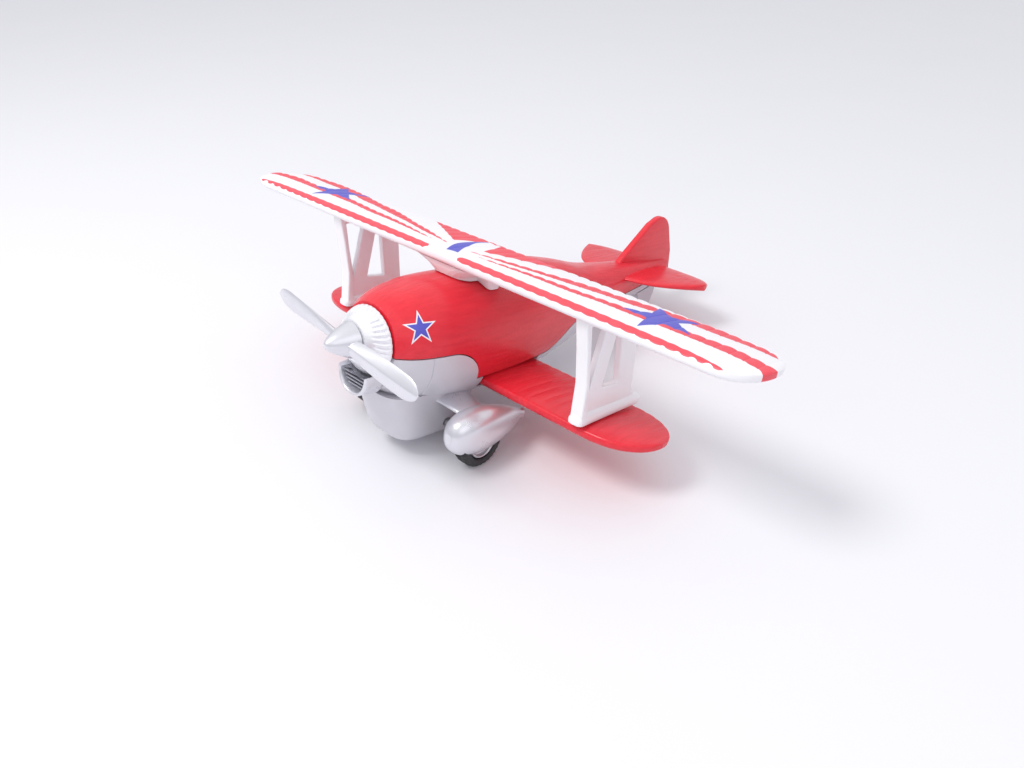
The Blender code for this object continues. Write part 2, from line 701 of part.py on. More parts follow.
def make_strut(name, side, parts, cutters, material, parent):
    """One N strut: a thin plate with a thicker front leg and a wider foot on the lower wing."""
    plate, holes = strut_outlines()
    bm = outline_bm(plate, STRUT_PLATE_THICKNESS, holes, STRUT_BEVEL)
    bmesh.ops.translate(bm, vec=(side * STRUT_X, 0, 0), verts=bm.verts)
    strut = add_object(name, bm, parts, material, parent)
    leg_form = add_object(name + "_leg", strut_leg_bm(side), cutters, None, parent)
    combine(strut, leg_form, 'UNION')
    bottom = LOWER_TOP_Z + GAP
    half = STRUT_THICKNESS / 2 + 0.0003
    foot = []
    for z, grow, back in ((bottom, 0.0, 0.0088), (bottom + 0.0012, 0.0, 0.0094),
                          (bottom + 0.0021, -0.0005, 0.0090), (bottom + 0.0027, -0.0012, 0.0080)):
        ring = []
        front = -0.0148 - grow
        wide = half + grow
        narrow = wide - 0.0004
        for y, x in rounded_outline(((front, -wide), (back, -narrow), (back, narrow), (front, wide)), 0.0015):
            ring.append(Vector((side * STRUT_X + x, y, z)))
        foot.append(ring)
    foot_form = add_object(name + "_foot", loft(foot), cutters, None, parent)
    combine(strut, foot_form, 'UNION')


def spat_bm(side):
    """Streamlined wheel cover, blunt in front and drawn out behind."""
    rings = []
    steps = 14
    front = AXLE_Y - 0.0102
    back = AXLE_Y + 0.0150
    for k in range(steps + 1):
        t = k / steps
        y = front + (back - front) * (1 - math.cos(math.pi / 2 * t))
        u = (y - front) / (back - front)
        fullness = max(0.10, math.sin(math.pi * u ** 0.62)) ** 0.62
        half_width = (WHEEL_WIDTH / 2 + SPAT_CLEARANCE + SPAT_WALL) * fullness
        half_height = 0.0056 * fullness
        rings.append(oval_ring(y, AXLE_Z + 0.0032, half_width, half_height, 2.4, 24, side * WHEEL_X))
    return loft(rings)


def make_gear(name, side, parts, cutters, silver, body_room, parent):
    """A landing gear leg with its wheel spat, one moulding."""
    gear = add_object(name, spat_bm(side), parts, silver, parent)
    rings = []
    for t in (0.0, 0.5, 1.0):
        x = side * (0.0082 + t * (WHEEL_X - 0.0082))
        z = -0.0335 + t * (AXLE_Z + 0.0062 + 0.0335)
        half_length = 0.0052 - 0.0016 * t
        ring = []
        for point in oval_ring(0.0, 0.0, half_length, 0.0011, 2.2, 16):
            ring.append(Vector((x, AXLE_Y + point.x, z + point.z)))
        rings.append(ring)
    leg = add_object(name + "_leg", loft(rings), cutters, None, parent)
    combine(gear, leg, 'UNION')
    slot_radius = WHEEL_RADIUS + SPAT_CLEARANCE
    slot_width = WHEEL_WIDTH + 2 * SPAT_CLEARANCE
    wheel_place = (side * WHEEL_X, AXLE_Y, AXLE_Z)
    slot = add_object(name + "_slot", cylinder_bm(slot_radius, slot_width, centre=wheel_place), cutters, None,
                      parent)
    combine(gear, slot, 'DIFFERENCE')
    drop_low = (side * WHEEL_X - slot_width / 2, AXLE_Y - slot_radius, AXLE_Z - 0.02)
    drop_high = (side * WHEEL_X + slot_width / 2, AXLE_Y + slot_radius, AXLE_Z)
    drop = add_object(name + "_drop", box_bm(drop_low, drop_high), cutters, None, parent)
    combine(gear, drop, 'DIFFERENCE')
    hole_length = 2 * (WHEEL_X + WHEEL_WIDTH / 2 + SPAT_CLEARANCE)
    hole = add_object(name + "_hole", cylinder_bm(AXLE_RADIUS + GAP, hole_length, centre=(0, AXLE_Y, AXLE_Z)),
                      cutters, None, parent)
    combine(gear, hole, 'DIFFERENCE')
    combine(gear, body_room, 'DIFFERENCE')


def make_wheels(parts, cutters, rubber, hub_material, steel, parent):
    """The axle through the motor with a wheel at each end, on an empty at its middle."""
    axle_length = 2 * (WHEEL_X + WHEEL_WIDTH / 2)
    add_object("main_axle", cylinder_bm(AXLE_RADIUS, axle_length, sides=20), parts, steel, parent)
    for name, side in (("left", 1), ("right", -1)):
        hub = add_object("wheel_hub_" + name, cylinder_bm(HUB_RADIUS, WHEEL_WIDTH * 0.84,
                         centre=(side * WHEEL_X, 0, 0)), parts, hub_material, parent)
        bore_form = cylinder_bm(AXLE_RADIUS + GAP, 0.02, sides=20, centre=(side * WHEEL_X, 0, 0))
        bore = add_object("hub_bore_" + name, bore_form, cutters, None, parent)
        combine(hub, bore, 'DIFFERENCE')
        inner = HUB_RADIUS + GAP
        half = WHEEL_WIDTH / 2
        corner = 0.0010
        profile = [(inner, half - 0.0003), (inner + 0.0003, half), (WHEEL_RADIUS - corner, half),
                   (WHEEL_RADIUS - 0.0003, half - 0.0005), (WHEEL_RADIUS, half - corner),
                   (WHEEL_RADIUS, -half + corner), (WHEEL_RADIUS - 0.0003, -half + 0.0005),
                   (WHEEL_RADIUS - corner, -half), (inner + 0.0003, -half), (inner, -half + 0.0003)]
        tyre = turned_object("tyre_" + name, profile, 40, parts, rubber, parent, closed=True)
        tyre.location = (side * WHEEL_X, 0, 0)
        tyre.rotation_euler = (0, math.pi / 2, 0)


def tail_plan(x):
    """Leading and trailing edge of the tailplane at a span station."""
    u = min(abs(x) / TAIL_HALF_SPAN, 0.995)
    factor = math.sqrt(1 - u ** 5)
    middle = 0.0690
    leading = 0.0505 + 0.0120 * u ** 2.4
    return middle + (leading - middle) * factor, middle + (0.0752 - middle) * factor


def tailplane_bm(grow=0.0):
    rings = []
    steps = 16
    for k in range(-steps, steps + 1):
        x = TAIL_HALF_SPAN * math.sin(math.pi / 2 * k / steps)
        leading, trailing = tail_plan(x)
        middle = (leading + trailing) / 2
        half = (trailing - leading) / 2 + grow
        ring = []
        for point in oval_ring(0.0, 0.0, half, TAIL_THICKNESS / 2 + grow, 2.6, 16):
            ring.append(Vector((x, middle + point.x, TAIL_Z + point.z)))
        rings.append(ring)
    return loft(rings)


def make_tailplane(parts, cutters, material, carriers, parent):
    """The tailplane, which passes through the body's tail."""
    slot = add_object("tailplane_slot", tailplane_bm(GAP), cutters, None, parent)
    for carrier in carriers:
        combine(carrier, slot, 'DIFFERENCE')
    return add_object("tailplane", tailplane_bm(), parts, material, parent)


def make_fin(parts, cutters, material, parent):
    """Fin and rudder, standing on the tail."""
    outline = [(0.0530, -0.0150), (0.0545, -0.0118), (0.0672, -0.0018)]
    outline += arc((0.0722, -0.0056), 0.0055, 122, 22, 6)
    outline += [(0.0806, -0.0110), (0.0818, -0.0180), (0.0777, -0.0184), (0.0777, -0.0150)]
    fin = add_object("fin", outline_bm(outline, FIN_THICKNESS, (), 0.0006), parts, material, parent)
    room = add_object("fin_room", body_bm(GAP), cutters, None, parent)
    combine(fin, room, 'DIFFERENCE')
    return fin


def make_tail_wheel(parts, cutters, silver, rubber, steel, parent, pivot, axle_z):
    """The tail wheel in its fork; the wheel turns with its pin."""
    half = TAIL_WHEEL_WIDTH / 2
    cheek = 0.0009
    room = 0.0005
    outer = half + room + cheek
    leg_outline = [(TAIL_WHEEL_Y - 0.0065, -0.0190), (TAIL_WHEEL_Y + 0.0050, -0.0170),
                   (TAIL_WHEEL_Y + 0.0042, -0.0238), (TAIL_WHEEL_Y + 0.0021, axle_z - 0.0018),
                   (TAIL_WHEEL_Y - 0.0021, axle_z - 0.0018), (TAIL_WHEEL_Y - 0.0040, -0.0245)]
    fork_form = outline_bm(rounded_outline(leg_outline, 0.0010), 2 * outer)
    fork = add_object("tail_wheel_fork", fork_form, parts, silver, parent)
    slot_radius = TAIL_WHEEL_RADIUS + 0.0007
    slot = add_object("tail_slot", cylinder_bm(slot_radius, 2 * (half + room),
                      centre=(0, TAIL_WHEEL_Y, axle_z)), cutters, None, parent)
    combine(fork, slot, 'DIFFERENCE')
    hole = add_object("tail_pin_hole", cylinder_bm(TAIL_AXLE_RADIUS + GAP, 0.02, sides=16,
                      centre=(0, TAIL_WHEEL_Y, axle_z)), cutters, None, parent)
    combine(fork, hole, 'DIFFERENCE')
    room_form = add_object("tail_body_room", body_bm(GAP), cutters, None, parent)
    combine(fork, room_form, 'DIFFERENCE')
    inner = TAIL_AXLE_RADIUS + GAP
    corner = 0.0006
    profile = [(inner, half), (TAIL_WHEEL_RADIUS - corner, half), (TAIL_WHEEL_RADIUS, half - corner),
               (TAIL_WHEEL_RADIUS, -half + corner), (TAIL_WHEEL_RADIUS - corner, -half), (inner, -half)]
    wheel = turned_object("tail_wheel", profile, 28, parts, rubber, pivot, closed=True)
    wheel.rotation_euler = (0, math.pi / 2, 0)
    add_object("tail_wheel_pin", cylinder_bm(TAIL_AXLE_RADIUS, 2 * outer, sides=16), parts, steel, pivot)


def make_windscreen(parts, cutters, material, parent):
    """A small curved windscreen in front of the cockpit."""
    rings = []
    for t in (0.0, 0.5, 1.0):
        ring = []
        radius = 0.0044 - 0.0008 * t
        for shell, direction in ((radius, 1), (radius - 0.0008, -1)):
            for k in range(9):
                step = k if direction == 1 else 8 - k
                angle = math.radians(200 + 140 * step / 8)
                y = 0.0056 + shell * math.sin(angle) * 0.9 + 0.0012 * t
                ring.append(Vector((shell * math.cos(angle), y, -0.0078 + 0.0037 * t)))
        rings.append(ring)
    screen = add_object("windscreen", loft(rings), parts, material, parent)
    room = add_object("screen_room", body_bm(GAP), cutters, None, parent)
    combine(screen, room, 'DIFFERENCE')


def stand_on_floor(parts, stance):
    """Move the pitched aircraft so that it stands on z = 0, centred on its own outline."""
    bpy.context.view_layer.update()
    depsgraph = bpy.context.evaluated_depsgraph_get()
    low_y = math.inf
    high_y = -math.inf
    low_z = math.inf
    for obj in parts.objects:
        evaluated = obj.evaluated_get(depsgraph)
        mesh = evaluated.to_mesh()
        for vertex in mesh.vertices:
            point = evaluated.matrix_world @ vertex.co
            low_y = min(low_y, point.y)
            high_y = max(high_y, point.y)
            low_z = min(low_z, point.z)
        evaluated.to_mesh_clear()
    stance.location = (0, -(low_y + high_y) / 2, -low_z)


def tail_axle_height():
    """Height of the tail wheel's pin in the level aircraft, with all wheels on one floor."""
    cos_a = math.cos(NOSE_UP)
    sin_a = math.sin(NOSE_UP)
    floor = AXLE_Z * cos_a - AXLE_Y * sin_a - WHEEL_RADIUS
    return (floor + TAIL_WHEEL_RADIUS + TAIL_WHEEL_Y * sin_a) / cos_a


def make_empty(name, location, parent=None):
    empty = bpy.data.objects.new(name, None)
    empty.location = location
    empty.parent = parent
    bpy.context.scene.collection.objects.link(empty)
    return empty


def build():
    clear_scene()
    parts = make_collection("toy_biplane")
    cutters = make_collection("cutters")
    red = make_material("red_paint", (0.75, 0.02, 0.03), 0.25)
    white = make_material("white_plastic", (0.85, 0.85, 0.86), 0.35)
    silver = make_material("silver_plastic", (0.62, 0.63, 0.66), 0.35, 0.6)
    grey = make_material("grey_base", (0.55, 0.56, 0.60), 0.4, 0.4)
    dark = make_material("dark_grille", (0.30, 0.31, 0.34), 0.5, 0.4)
    steel = make_material("steel", (0.60, 0.60, 0.60), 0.3, 1.0)
    rubber = make_material("black_rubber", (0.02, 0.02, 0.02), 0.7)
    smoke = make_material("smoked_plastic", (0.10, 0.12, 0.15), 0.1, 0.0, 0.5)

    stance = make_empty("stance", (0, 0, 0))
    stance.rotation_euler = (-NOSE_UP, 0, 0)
    axle_pivot = make_empty("axle_pivot", (0, AXLE_Y, AXLE_Z), stance)
    prop_pivot = make_empty("prop_pivot", (0, PROP_DISC_Y, THRUST_Z), stance)
    prop_pivot.rotation_euler = (0, PROP_ANGLE, 0)
    axle_z = tail_axle_height()
    tail_pivot = make_empty("tail_pivot", (0, TAIL_WHEEL_Y, axle_z), stance)

    body, base, shaft_hole = make_body(parts, cutters, red, grey, stance)
    motor = add_object("pull_back_motor", motor_bm(), parts, rubber, stance)
    motor_hole = add_object("motor_axle_hole", cylinder_bm(AXLE_RADIUS + GAP, 0.04,
                            centre=(0, AXLE_Y, AXLE_Z), sides=20), cutters, None, stance)
    combine(motor, motor_hole, 'DIFFERENCE')
    make_nose_cone(parts, cutters, silver, shaft_hole, stance)
    make_intake(parts, cutters, silver, dark, stance)
    make_propeller(parts, cutters, silver, steel, prop_pivot)
    make_upper_wing(parts, white, stance)
    add_object("lower_wing", lower_wing_form(), parts, red, stance)
    make_pylon(parts, cutters, white, stance)
    for name, side in (("strut_left", 1), ("strut_right", -1)):
        make_strut(name, side, parts, cutters, white, stance)
    base_room = add_object("base_room", body_bm(GAP), cutters, None, stance)
    housing_room = add_object("housing_room", housing_bm(GAP), cutters, None, stance)
    for name, side in (("gear_left", 1), ("gear_right", -1)):
        make_gear(name, side, parts, cutters, silver, base_room, stance)
        combine(parts.objects[name], housing_room, 'DIFFERENCE')
    make_wheels(parts, cutters, rubber, silver, steel, axle_pivot)
    fin = make_fin(parts, cutters, red, stance)
    make_tailplane(parts, cutters, red, (body, base, fin), stance)
    make_tail_wheel(parts, cutters, grey, rubber, steel, stance, tail_pivot, axle_z)
    make_windscreen(parts, cutters, smoke, stance)
    stand_on_floor(parts, stance)


build()
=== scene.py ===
"""The looks of a die-cast toy biplane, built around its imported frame.

Shapes are laid out in millimetres in the level aircraft's own frame: nose towards -Y, left wing
towards +X, origin at the middle of the upper wing's trailing edge. STANCE pitches that frame
nose-up and puts it on its wheels.
"""
import json
import math

import bmesh
import bpy
from mathutils import Matrix, Vector


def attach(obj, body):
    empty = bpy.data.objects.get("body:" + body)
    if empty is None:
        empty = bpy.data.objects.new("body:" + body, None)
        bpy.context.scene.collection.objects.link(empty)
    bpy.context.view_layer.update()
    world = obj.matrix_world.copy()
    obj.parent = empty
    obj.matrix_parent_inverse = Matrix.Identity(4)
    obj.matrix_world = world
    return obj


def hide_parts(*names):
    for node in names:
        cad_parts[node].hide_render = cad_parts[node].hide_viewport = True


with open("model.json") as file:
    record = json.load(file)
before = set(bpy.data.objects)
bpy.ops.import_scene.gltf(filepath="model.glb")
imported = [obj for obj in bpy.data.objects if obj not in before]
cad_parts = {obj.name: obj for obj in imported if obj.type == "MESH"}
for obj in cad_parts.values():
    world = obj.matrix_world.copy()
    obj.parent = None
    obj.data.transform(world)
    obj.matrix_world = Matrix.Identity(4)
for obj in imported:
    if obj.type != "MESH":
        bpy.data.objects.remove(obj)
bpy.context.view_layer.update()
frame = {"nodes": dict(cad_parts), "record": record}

MM = 0.001
AXLE = Vector((0.0, -20.0, -41.0))
WHEEL_X = 19.5
AXLE_HOLE_RADIUS = 1.2
PROP_DISC = Vector((0.0, -46.0, -17.2))
PROP_ANGLE = math.radians(7)
NOSE_UP_ANGLE = math.radians(11)
NOSE_UP = Matrix.Rotation(-NOSE_UP_ANGLE, 4, 'X')


def joint_place(name):
    for joint in frame["record"]["behaviour"]["joints"]:
        if joint["name"] == name:
            return Vector(joint["pos_m"])
    raise ValueError(name)


STANCE = Matrix.Translation(joint_place("main_wheels_roll") - NOSE_UP @ (AXLE * MM)) @ NOSE_UP
PROP_FRAME = STANCE @ Matrix.Translation(PROP_DISC * MM) @ Matrix.Rotation(PROP_ANGLE, 4, 'Y')
AXLE_FRAME = STANCE @ Matrix.Translation(AXLE * MM)
TAIL_FRAME = Matrix.Translation(joint_place("tail_wheel_roll")) @ NOSE_UP

# Ribs moulded across both wings
RIB_PITCH = 3.3333
UPPER_RIB_DEPTH = 0.20
LOWER_RIB_DEPTH = 0.09

# Body stations from nose to tail: y, top z, bottom z, half width
BODY_STATIONS = (
    (-38.6, -9.6, -29.2, 8.8),
    (-35.8, -8.1, -31.4, 10.9),
    (-31.5, -6.9, -33.4, 12.6),
    (-24.0, -5.9, -35.2, 13.9),
    (-12.0, -5.8, -36.2, 14.2),
    (0.0, -6.0, -36.2, 13.5),
    (11.0, -5.4, -35.0, 12.2),
    (23.0, -7.2, -32.2, 10.5),
    (35.0, -10.0, -29.0, 8.6),
    (47.0, -11.4, -26.2, 6.8),
    (59.0, -12.2, -24.0, 5.2),
    (69.0, -12.8, -22.0, 4.0),
    (78.0, -13.4, -19.8, 2.7),
)
BODY_FRONT = BODY_STATIONS[0][0]
BODY_BACK = BODY_STATIONS[-1][0]
BODY_ROUNDNESS = 2.35

# Line between the red body and the grey base: a round step behind the cowl, level under the
# wing, then rising to the tail
SEAM_COWL_Z = -19.7
SEAM_LOW_Z = -28.2
SEAM_TAIL_Z = -21.5
SEAM_STEP_START = -25.5
SEAM_STEP_END = -16.0
SEAM_RISE_START = 12.0
SEAM_RISE_END = 26.0

# The lower wing passes through the base between these places
WING_GAP_START = -13.6
WING_GAP_END = 9.0

SMOOTH_ANGLE = 35.0


# Mesh helpers

def smooth_value(stations, column, y):
    """Read one column of the stations at y, on a smooth curve through them."""
    last = len(stations) - 1
    if y <= stations[0][0]:
        return stations[0][column]
    if y >= stations[last][0]:
        return stations[last][column]
    i = max(k for k in range(last) if stations[k][0] <= y)
    y0, y1 = stations[i][0], stations[i + 1][0]
    v0, v1 = stations[i][column], stations[i + 1][column]
    slopes = []
    for k in (i, i + 1):
        before = stations[max(k - 1, 0)]
        after = stations[min(k + 1, last)]
        slopes.append((after[column] - before[column]) / (after[0] - before[0]))
    t = (y - y0) / (y1 - y0)
    step = y1 - y0
    h00 = 2 * t**3 - 3 * t**2 + 1
    h10 = t**3 - 2 * t**2 + t
    h01 = -2 * t**3 + 3 * t**2
    h11 = t**3 - t**2
    return h00 * v0 + h10 * step * slopes[0] + h01 * v1 + h11 * step * slopes[1]


def superellipse(angle, half_width, half_height, roundness):
    """A point of an oval: roundness 2 is an ellipse, more is squarer, less is sharper."""
    cos_a = math.cos(angle)
    sin_a = math.sin(angle)
    return (half_width * math.copysign(abs(cos_a) ** (2 / roundness), cos_a),
            half_height * math.copysign(abs(sin_a) ** (2 / roundness), sin_a))


def oval_ring(y, centre_z, half_width, half_height, roundness, points, centre_x=0.0):
    ring = []
    for k in range(points):
        x, z = superellipse(2 * math.pi * k / points, half_width, half_height, roundness)
        ring.append(Vector((centre_x + x, y, centre_z + z)))
    return ring


def loft(rings, closed=False):
    """A body through rings with the same number of points: capped, or closed to its first ring."""
    bm = bmesh.new()
    loops = [[bm.verts.new(point) for point in ring] for ring in rings]
    count = len(rings[0])
    pairs = list(zip(loops, loops[1:]))
    if closed:
        pairs.append((loops[-1], loops[0]))
    for one, two in pairs:
        for k in range(count):
            n = (k + 1) % count
            bm.faces.new((one[k], one[n], two[n], two[k]))
    if not closed:
        bm.faces.new(loops[0])
        bm.faces.new(loops[-1])
    return bm


def rounded_outline(points, radius, steps):
    """Round every corner of a 2D outline."""
    result = []
    count = len(points)
    for k in range(count):
        here = Vector(points[k])
        before = Vector(points[k - 1]) - here
        after = Vector(points[(k + 1) % count]) - here
        reach = min(radius, before.length * 0.45, after.length * 0.45)
        start = here + before.normalized() * reach
        end = here + after.normalized() * reach
        for s in range(steps + 1):
            t = s / steps
            point = start * (1 - t) ** 2 + here * 2 * t * (1 - t) + end * t ** 2
            result.append((point.x, point.y))
    return result


def arc(centre, radius, start, end, steps):
    angles = [math.radians(start + (end - start) * k / steps) for k in range(steps + 1)]
    return [(centre[0] + radius * math.cos(a), centre[1] + radius * math.sin(a)) for a in angles]


def outline_bm(points, thickness, holes, bevel, bevel_steps):
    """A flat outline in the YZ plane with holes and rounded edges, centred on x = 0."""
    curve = bpy.data.curves.new("outline", 'CURVE')
    curve.dimensions = '2D'
    curve.fill_mode = 'BOTH'
    curve.extrude = thickness / 2 - bevel
    curve.bevel_depth = bevel
    curve.bevel_resolution = bevel_steps
    for loop in (points, *holes):
        spline = curve.splines.new('POLY')
        spline.points.add(len(loop) - 1)
        for point, (y, z) in zip(spline.points, loop):
            point.co = (y, z, 0.0, 1.0)
        spline.use_cyclic_u = True
    obj = bpy.data.objects.new("outline", curve)
    bpy.context.scene.collection.objects.link(obj)
    depsgraph = bpy.context.evaluated_depsgraph_get()
    mesh = bpy.data.meshes.new_from_object(obj.evaluated_get(depsgraph))
    bm = bmesh.new()
    bm.from_mesh(mesh)
    bmesh.ops.remove_doubles(bm, verts=bm.verts, dist=0.002)
    turn = Matrix(((0, 0, 1, 0), (1, 0, 0, 0), (0, 1, 0, 0), (0, 0, 0, 1)))
    bmesh.ops.transform(bm, matrix=turn, verts=bm.verts)
    bpy.data.objects.remove(obj, do_unlink=True)
    bpy.data.curves.remove(curve)
    bpy.data.meshes.remove(mesh)
    return bm


def new_object(name, bm, matrix=STANCE, smooth_angle=SMOOTH_ANGLE):
    """Turn a bmesh in millimetres into an object in metres.

    The turn of matrix goes into the mesh and its move into the object.
    """
    turn = matrix.to_3x3().to_4x4()
    bmesh.ops.transform(bm, matrix=turn @ Matrix.Scale(MM, 4), verts=bm.verts)
    bmesh.ops.recalc_face_normals(bm, faces=bm.faces)
    mesh = bpy.data.meshes.new(name)
    bm.to_mesh(mesh)
    bm.free()
    mesh.shade_smooth()
    mesh.set_sharp_from_angle(angle=math.radians(smooth_angle))
    obj = bpy.data.objects.new(name, mesh)
    bpy.context.scene.collection.objects.link(obj)
    obj.matrix_world = Matrix.Translation(matrix.translation)
    bpy.context.view_layer.update()
    return obj


def apply_boolean(obj, form, operation, matrix=STANCE):
    """Cut obj by a form, or join the form to it, and keep only the result."""
    other = new_object("boolean_form", form, matrix)
    modifier = obj.modifiers.new("cut", 'BOOLEAN')
    modifier.operation = operation
    modifier.object = other
    modifier.solver = 'EXACT'
    bpy.context.view_layer.update()
    depsgraph = bpy.context.evaluated_depsgraph_get()
    mesh = bpy.data.meshes.new_from_object(obj.evaluated_get(depsgraph))
    old = obj.data
    obj.modifiers.clear()
    obj.data = mesh
    mesh.name = old.name
    bpy.data.meshes.remove(old)
    other_mesh = other.data
    bpy.data.objects.remove(other, do_unlink=True)
    bpy.data.meshes.remove(other_mesh)
    mesh.shade_smooth()
    mesh.set_sharp_from_angle(angle=math.radians(SMOOTH_ANGLE))


def piece(obj, material, nodes=(), body="airframe"):
    """Dress a piece, let it ride on its body and hide the CAD nodes that it stands for."""
    obj.data.materials.clear()
    obj.data.materials.append(material)
    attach(obj, body)
    for node in nodes:
        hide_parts(node)


# Material helpers

class Field:
    """A number that varies over the surface, built from Math nodes."""

    def __init__(self, tree, socket):
        self.tree = tree
        self.socket = socket

    def math(self, operation, *others, clamp=False):
        node = self.tree.nodes.new("ShaderNodeMath")
        node.operation = operation
        node.use_clamp = clamp
        for socket, value in zip(node.inputs, (self, *others)):
            if isinstance(value, Field):
                self.tree.links.new(value.socket, socket)
            else:
                socket.default_value = value
        return Field(self.tree, node.outputs[0])

    def __add__(self, other):
        return self.math('ADD', other)

    def __sub__(self, other):
        return self.math('SUBTRACT', other)

    def __mul__(self, other):
        return self.math('MULTIPLY', other)

    def __neg__(self):
        return self.math('MULTIPLY', -1.0)

    def maximum(self, other):
        return self.math('MAXIMUM', other)

    def absolute(self):
        return self.math('ABSOLUTE')

    def step(self, softness=0.06):
        """1 where the field is above zero, 0 below it, with a soft edge."""
        return (self * (1.0 / softness)).math('ADD', 0.5, clamp=True)


def curve_field(x, points, x_scale, low, high):
    """A curve through points (x, value), read at the field x."""
    node = x.tree.nodes.new("ShaderNodeFloatCurve")
    curve = node.mapping.curves[0]
    scaled = [(px / x_scale, (value - low) / (high - low)) for px, value in points]
    curve.points[0].location = scaled[0]
    curve.points[1].location = scaled[-1]
    for location in scaled[1:-1]:
        curve.points.new(*location)
    node.mapping.update()
    x.tree.links.new((x * (1.0 / x_scale)).socket, node.inputs["Value"])
    return Field(x.tree, node.outputs[0]) * (high - low) + low


def level_coordinates(tree):
    """Coordinates of the piece turned back into the level aircraft's frame, in metres."""
    coordinates = tree.nodes.new("ShaderNodeTexCoord")
    level = tree.nodes.new("ShaderNodeMapping")
    level.inputs["Rotation"].default_value = (NOSE_UP_ANGLE, 0.0, 0.0)
    tree.links.new(coordinates.outputs["Object"], level.inputs["Vector"])
    return level.outputs[0]


def place_fields(tree):
    """X, Y and Z of the surface in millimetres, in the level aircraft's frame."""
    split = tree.nodes.new("ShaderNodeSeparateXYZ")
    tree.links.new(level_coordinates(tree), split.inputs[0])
    return tuple(Field(tree, split.outputs[k]) * (1.0 / MM) for k in range(3))


def noise_field(tree, scale_mm, detail, stretch=(1, 1, 1), roughness=0.5):
    """Noise with features of about scale_mm, stretched along the axes."""
    mapping = tree.nodes.new("ShaderNodeMapping")
    mapping.inputs["Scale"].default_value = tuple(1.0 / (MM * scale_mm * s) for s in stretch)
    noise = tree.nodes.new("ShaderNodeTexNoise")
    noise.inputs["Scale"].default_value = 1.0
    noise.inputs["Detail"].default_value = detail
    noise.inputs["Roughness"].default_value = roughness
    tree.links.new(level_coordinates(tree), mapping.inputs["Vector"])
    tree.links.new(mapping.outputs[0], noise.inputs["Vector"])
    return Field(tree, noise.outputs["Fac"])


def mix_colour(tree, factor, one, two):
    node = tree.nodes.new("ShaderNodeMix")
    node.data_type = 'RGBA'
    tree.links.new(factor.socket, node.inputs[0])
    for socket, value in ((node.inputs[6], one), (node.inputs[7], two)):
        if isinstance(value, Field):
            tree.links.new(value.socket, socket)
        else:
            socket.default_value = (*value, 1.0)
    return Field(tree, node.outputs[2])


def add_bump(tree, shader, height, distance_mm):
    bump = tree.nodes.new("ShaderNodeBump")
    bump.inputs["Strength"].default_value = 1.0
    bump.inputs["Distance"].default_value = distance_mm * MM
    tree.links.new(height.socket, bump.inputs["Height"])
    tree.links.new(bump.outputs[0], shader.inputs["Normal"])


def start_material(name, roughness, metallic=0.0, coat=0.0, coat_roughness=0.1):
    material = bpy.data.materials.new(name)
    material.use_nodes = True
    tree = material.node_tree
    shader = tree.nodes["Principled BSDF"]
    shader.inputs["Roughness"].default_value = roughness
    shader.inputs["Metallic"].default_value = metallic
    shader.inputs["Coat Weight"].default_value = coat
    shader.inputs["Coat Roughness"].default_value = coat_roughness
    return material, tree, shader


def varied_material(name, colour, darker, scale_mm, roughness, bump_mm=0.0, bump_scale_mm=0.3):
    """A material whose colour and roughness drift softly, with a fine moulded surface."""
    material, tree, shader = start_material(name, roughness)
    drift = noise_field(tree, scale_mm, 4.0)
    colour_mix = mix_colour(tree, drift, colour, darker)
    tree.links.new(colour_mix.socket, shader.inputs["Base Color"])
    spread = 0.10
    rough = drift * spread + (roughness - spread / 2)
    tree.links.new(rough.socket, shader.inputs["Roughness"])
    if bump_mm:
        add_bump(tree, shader, noise_field(tree, bump_scale_mm, 2.0), bump_mm)
    return material


# Colours of the paint, the plastic and the print, in linear values
RED = (0.82, 0.024, 0.042)
RED_DEEP = (0.66, 0.010, 0.026)
WHITE = (0.90, 0.89, 0.91)
WHITE_SHADE = (0.86, 0.85, 0.88)
STRIPE_RED = (0.80, 0.045, 0.070)
STRIPE_RED_PALE = (0.86, 0.10, 0.13)
STAR_BLUE = (0.085, 0.085, 0.52)
STAR_BLUE_PALE = (0.12, 0.12, 0.58)

# Half span that the stripes' curves cover
PRINT_REACH = 84.0


def star_field(u, v, radius, turn_degrees, softness=0.08):
    """1 inside a five-pointed star around u = v = 0 with one tip at turn_degrees."""
    inner = radius * math.cos(math.radians(72))
    total = None
    for k in range(5):
        angle = math.radians(turn_degrees + 72 * k)
        side = (-(u * math.cos(angle)) - (v * math.sin(angle)) + inner).step(softness)
        total = side if total is None else total + side
    return (total - 3.5).step(1.0)


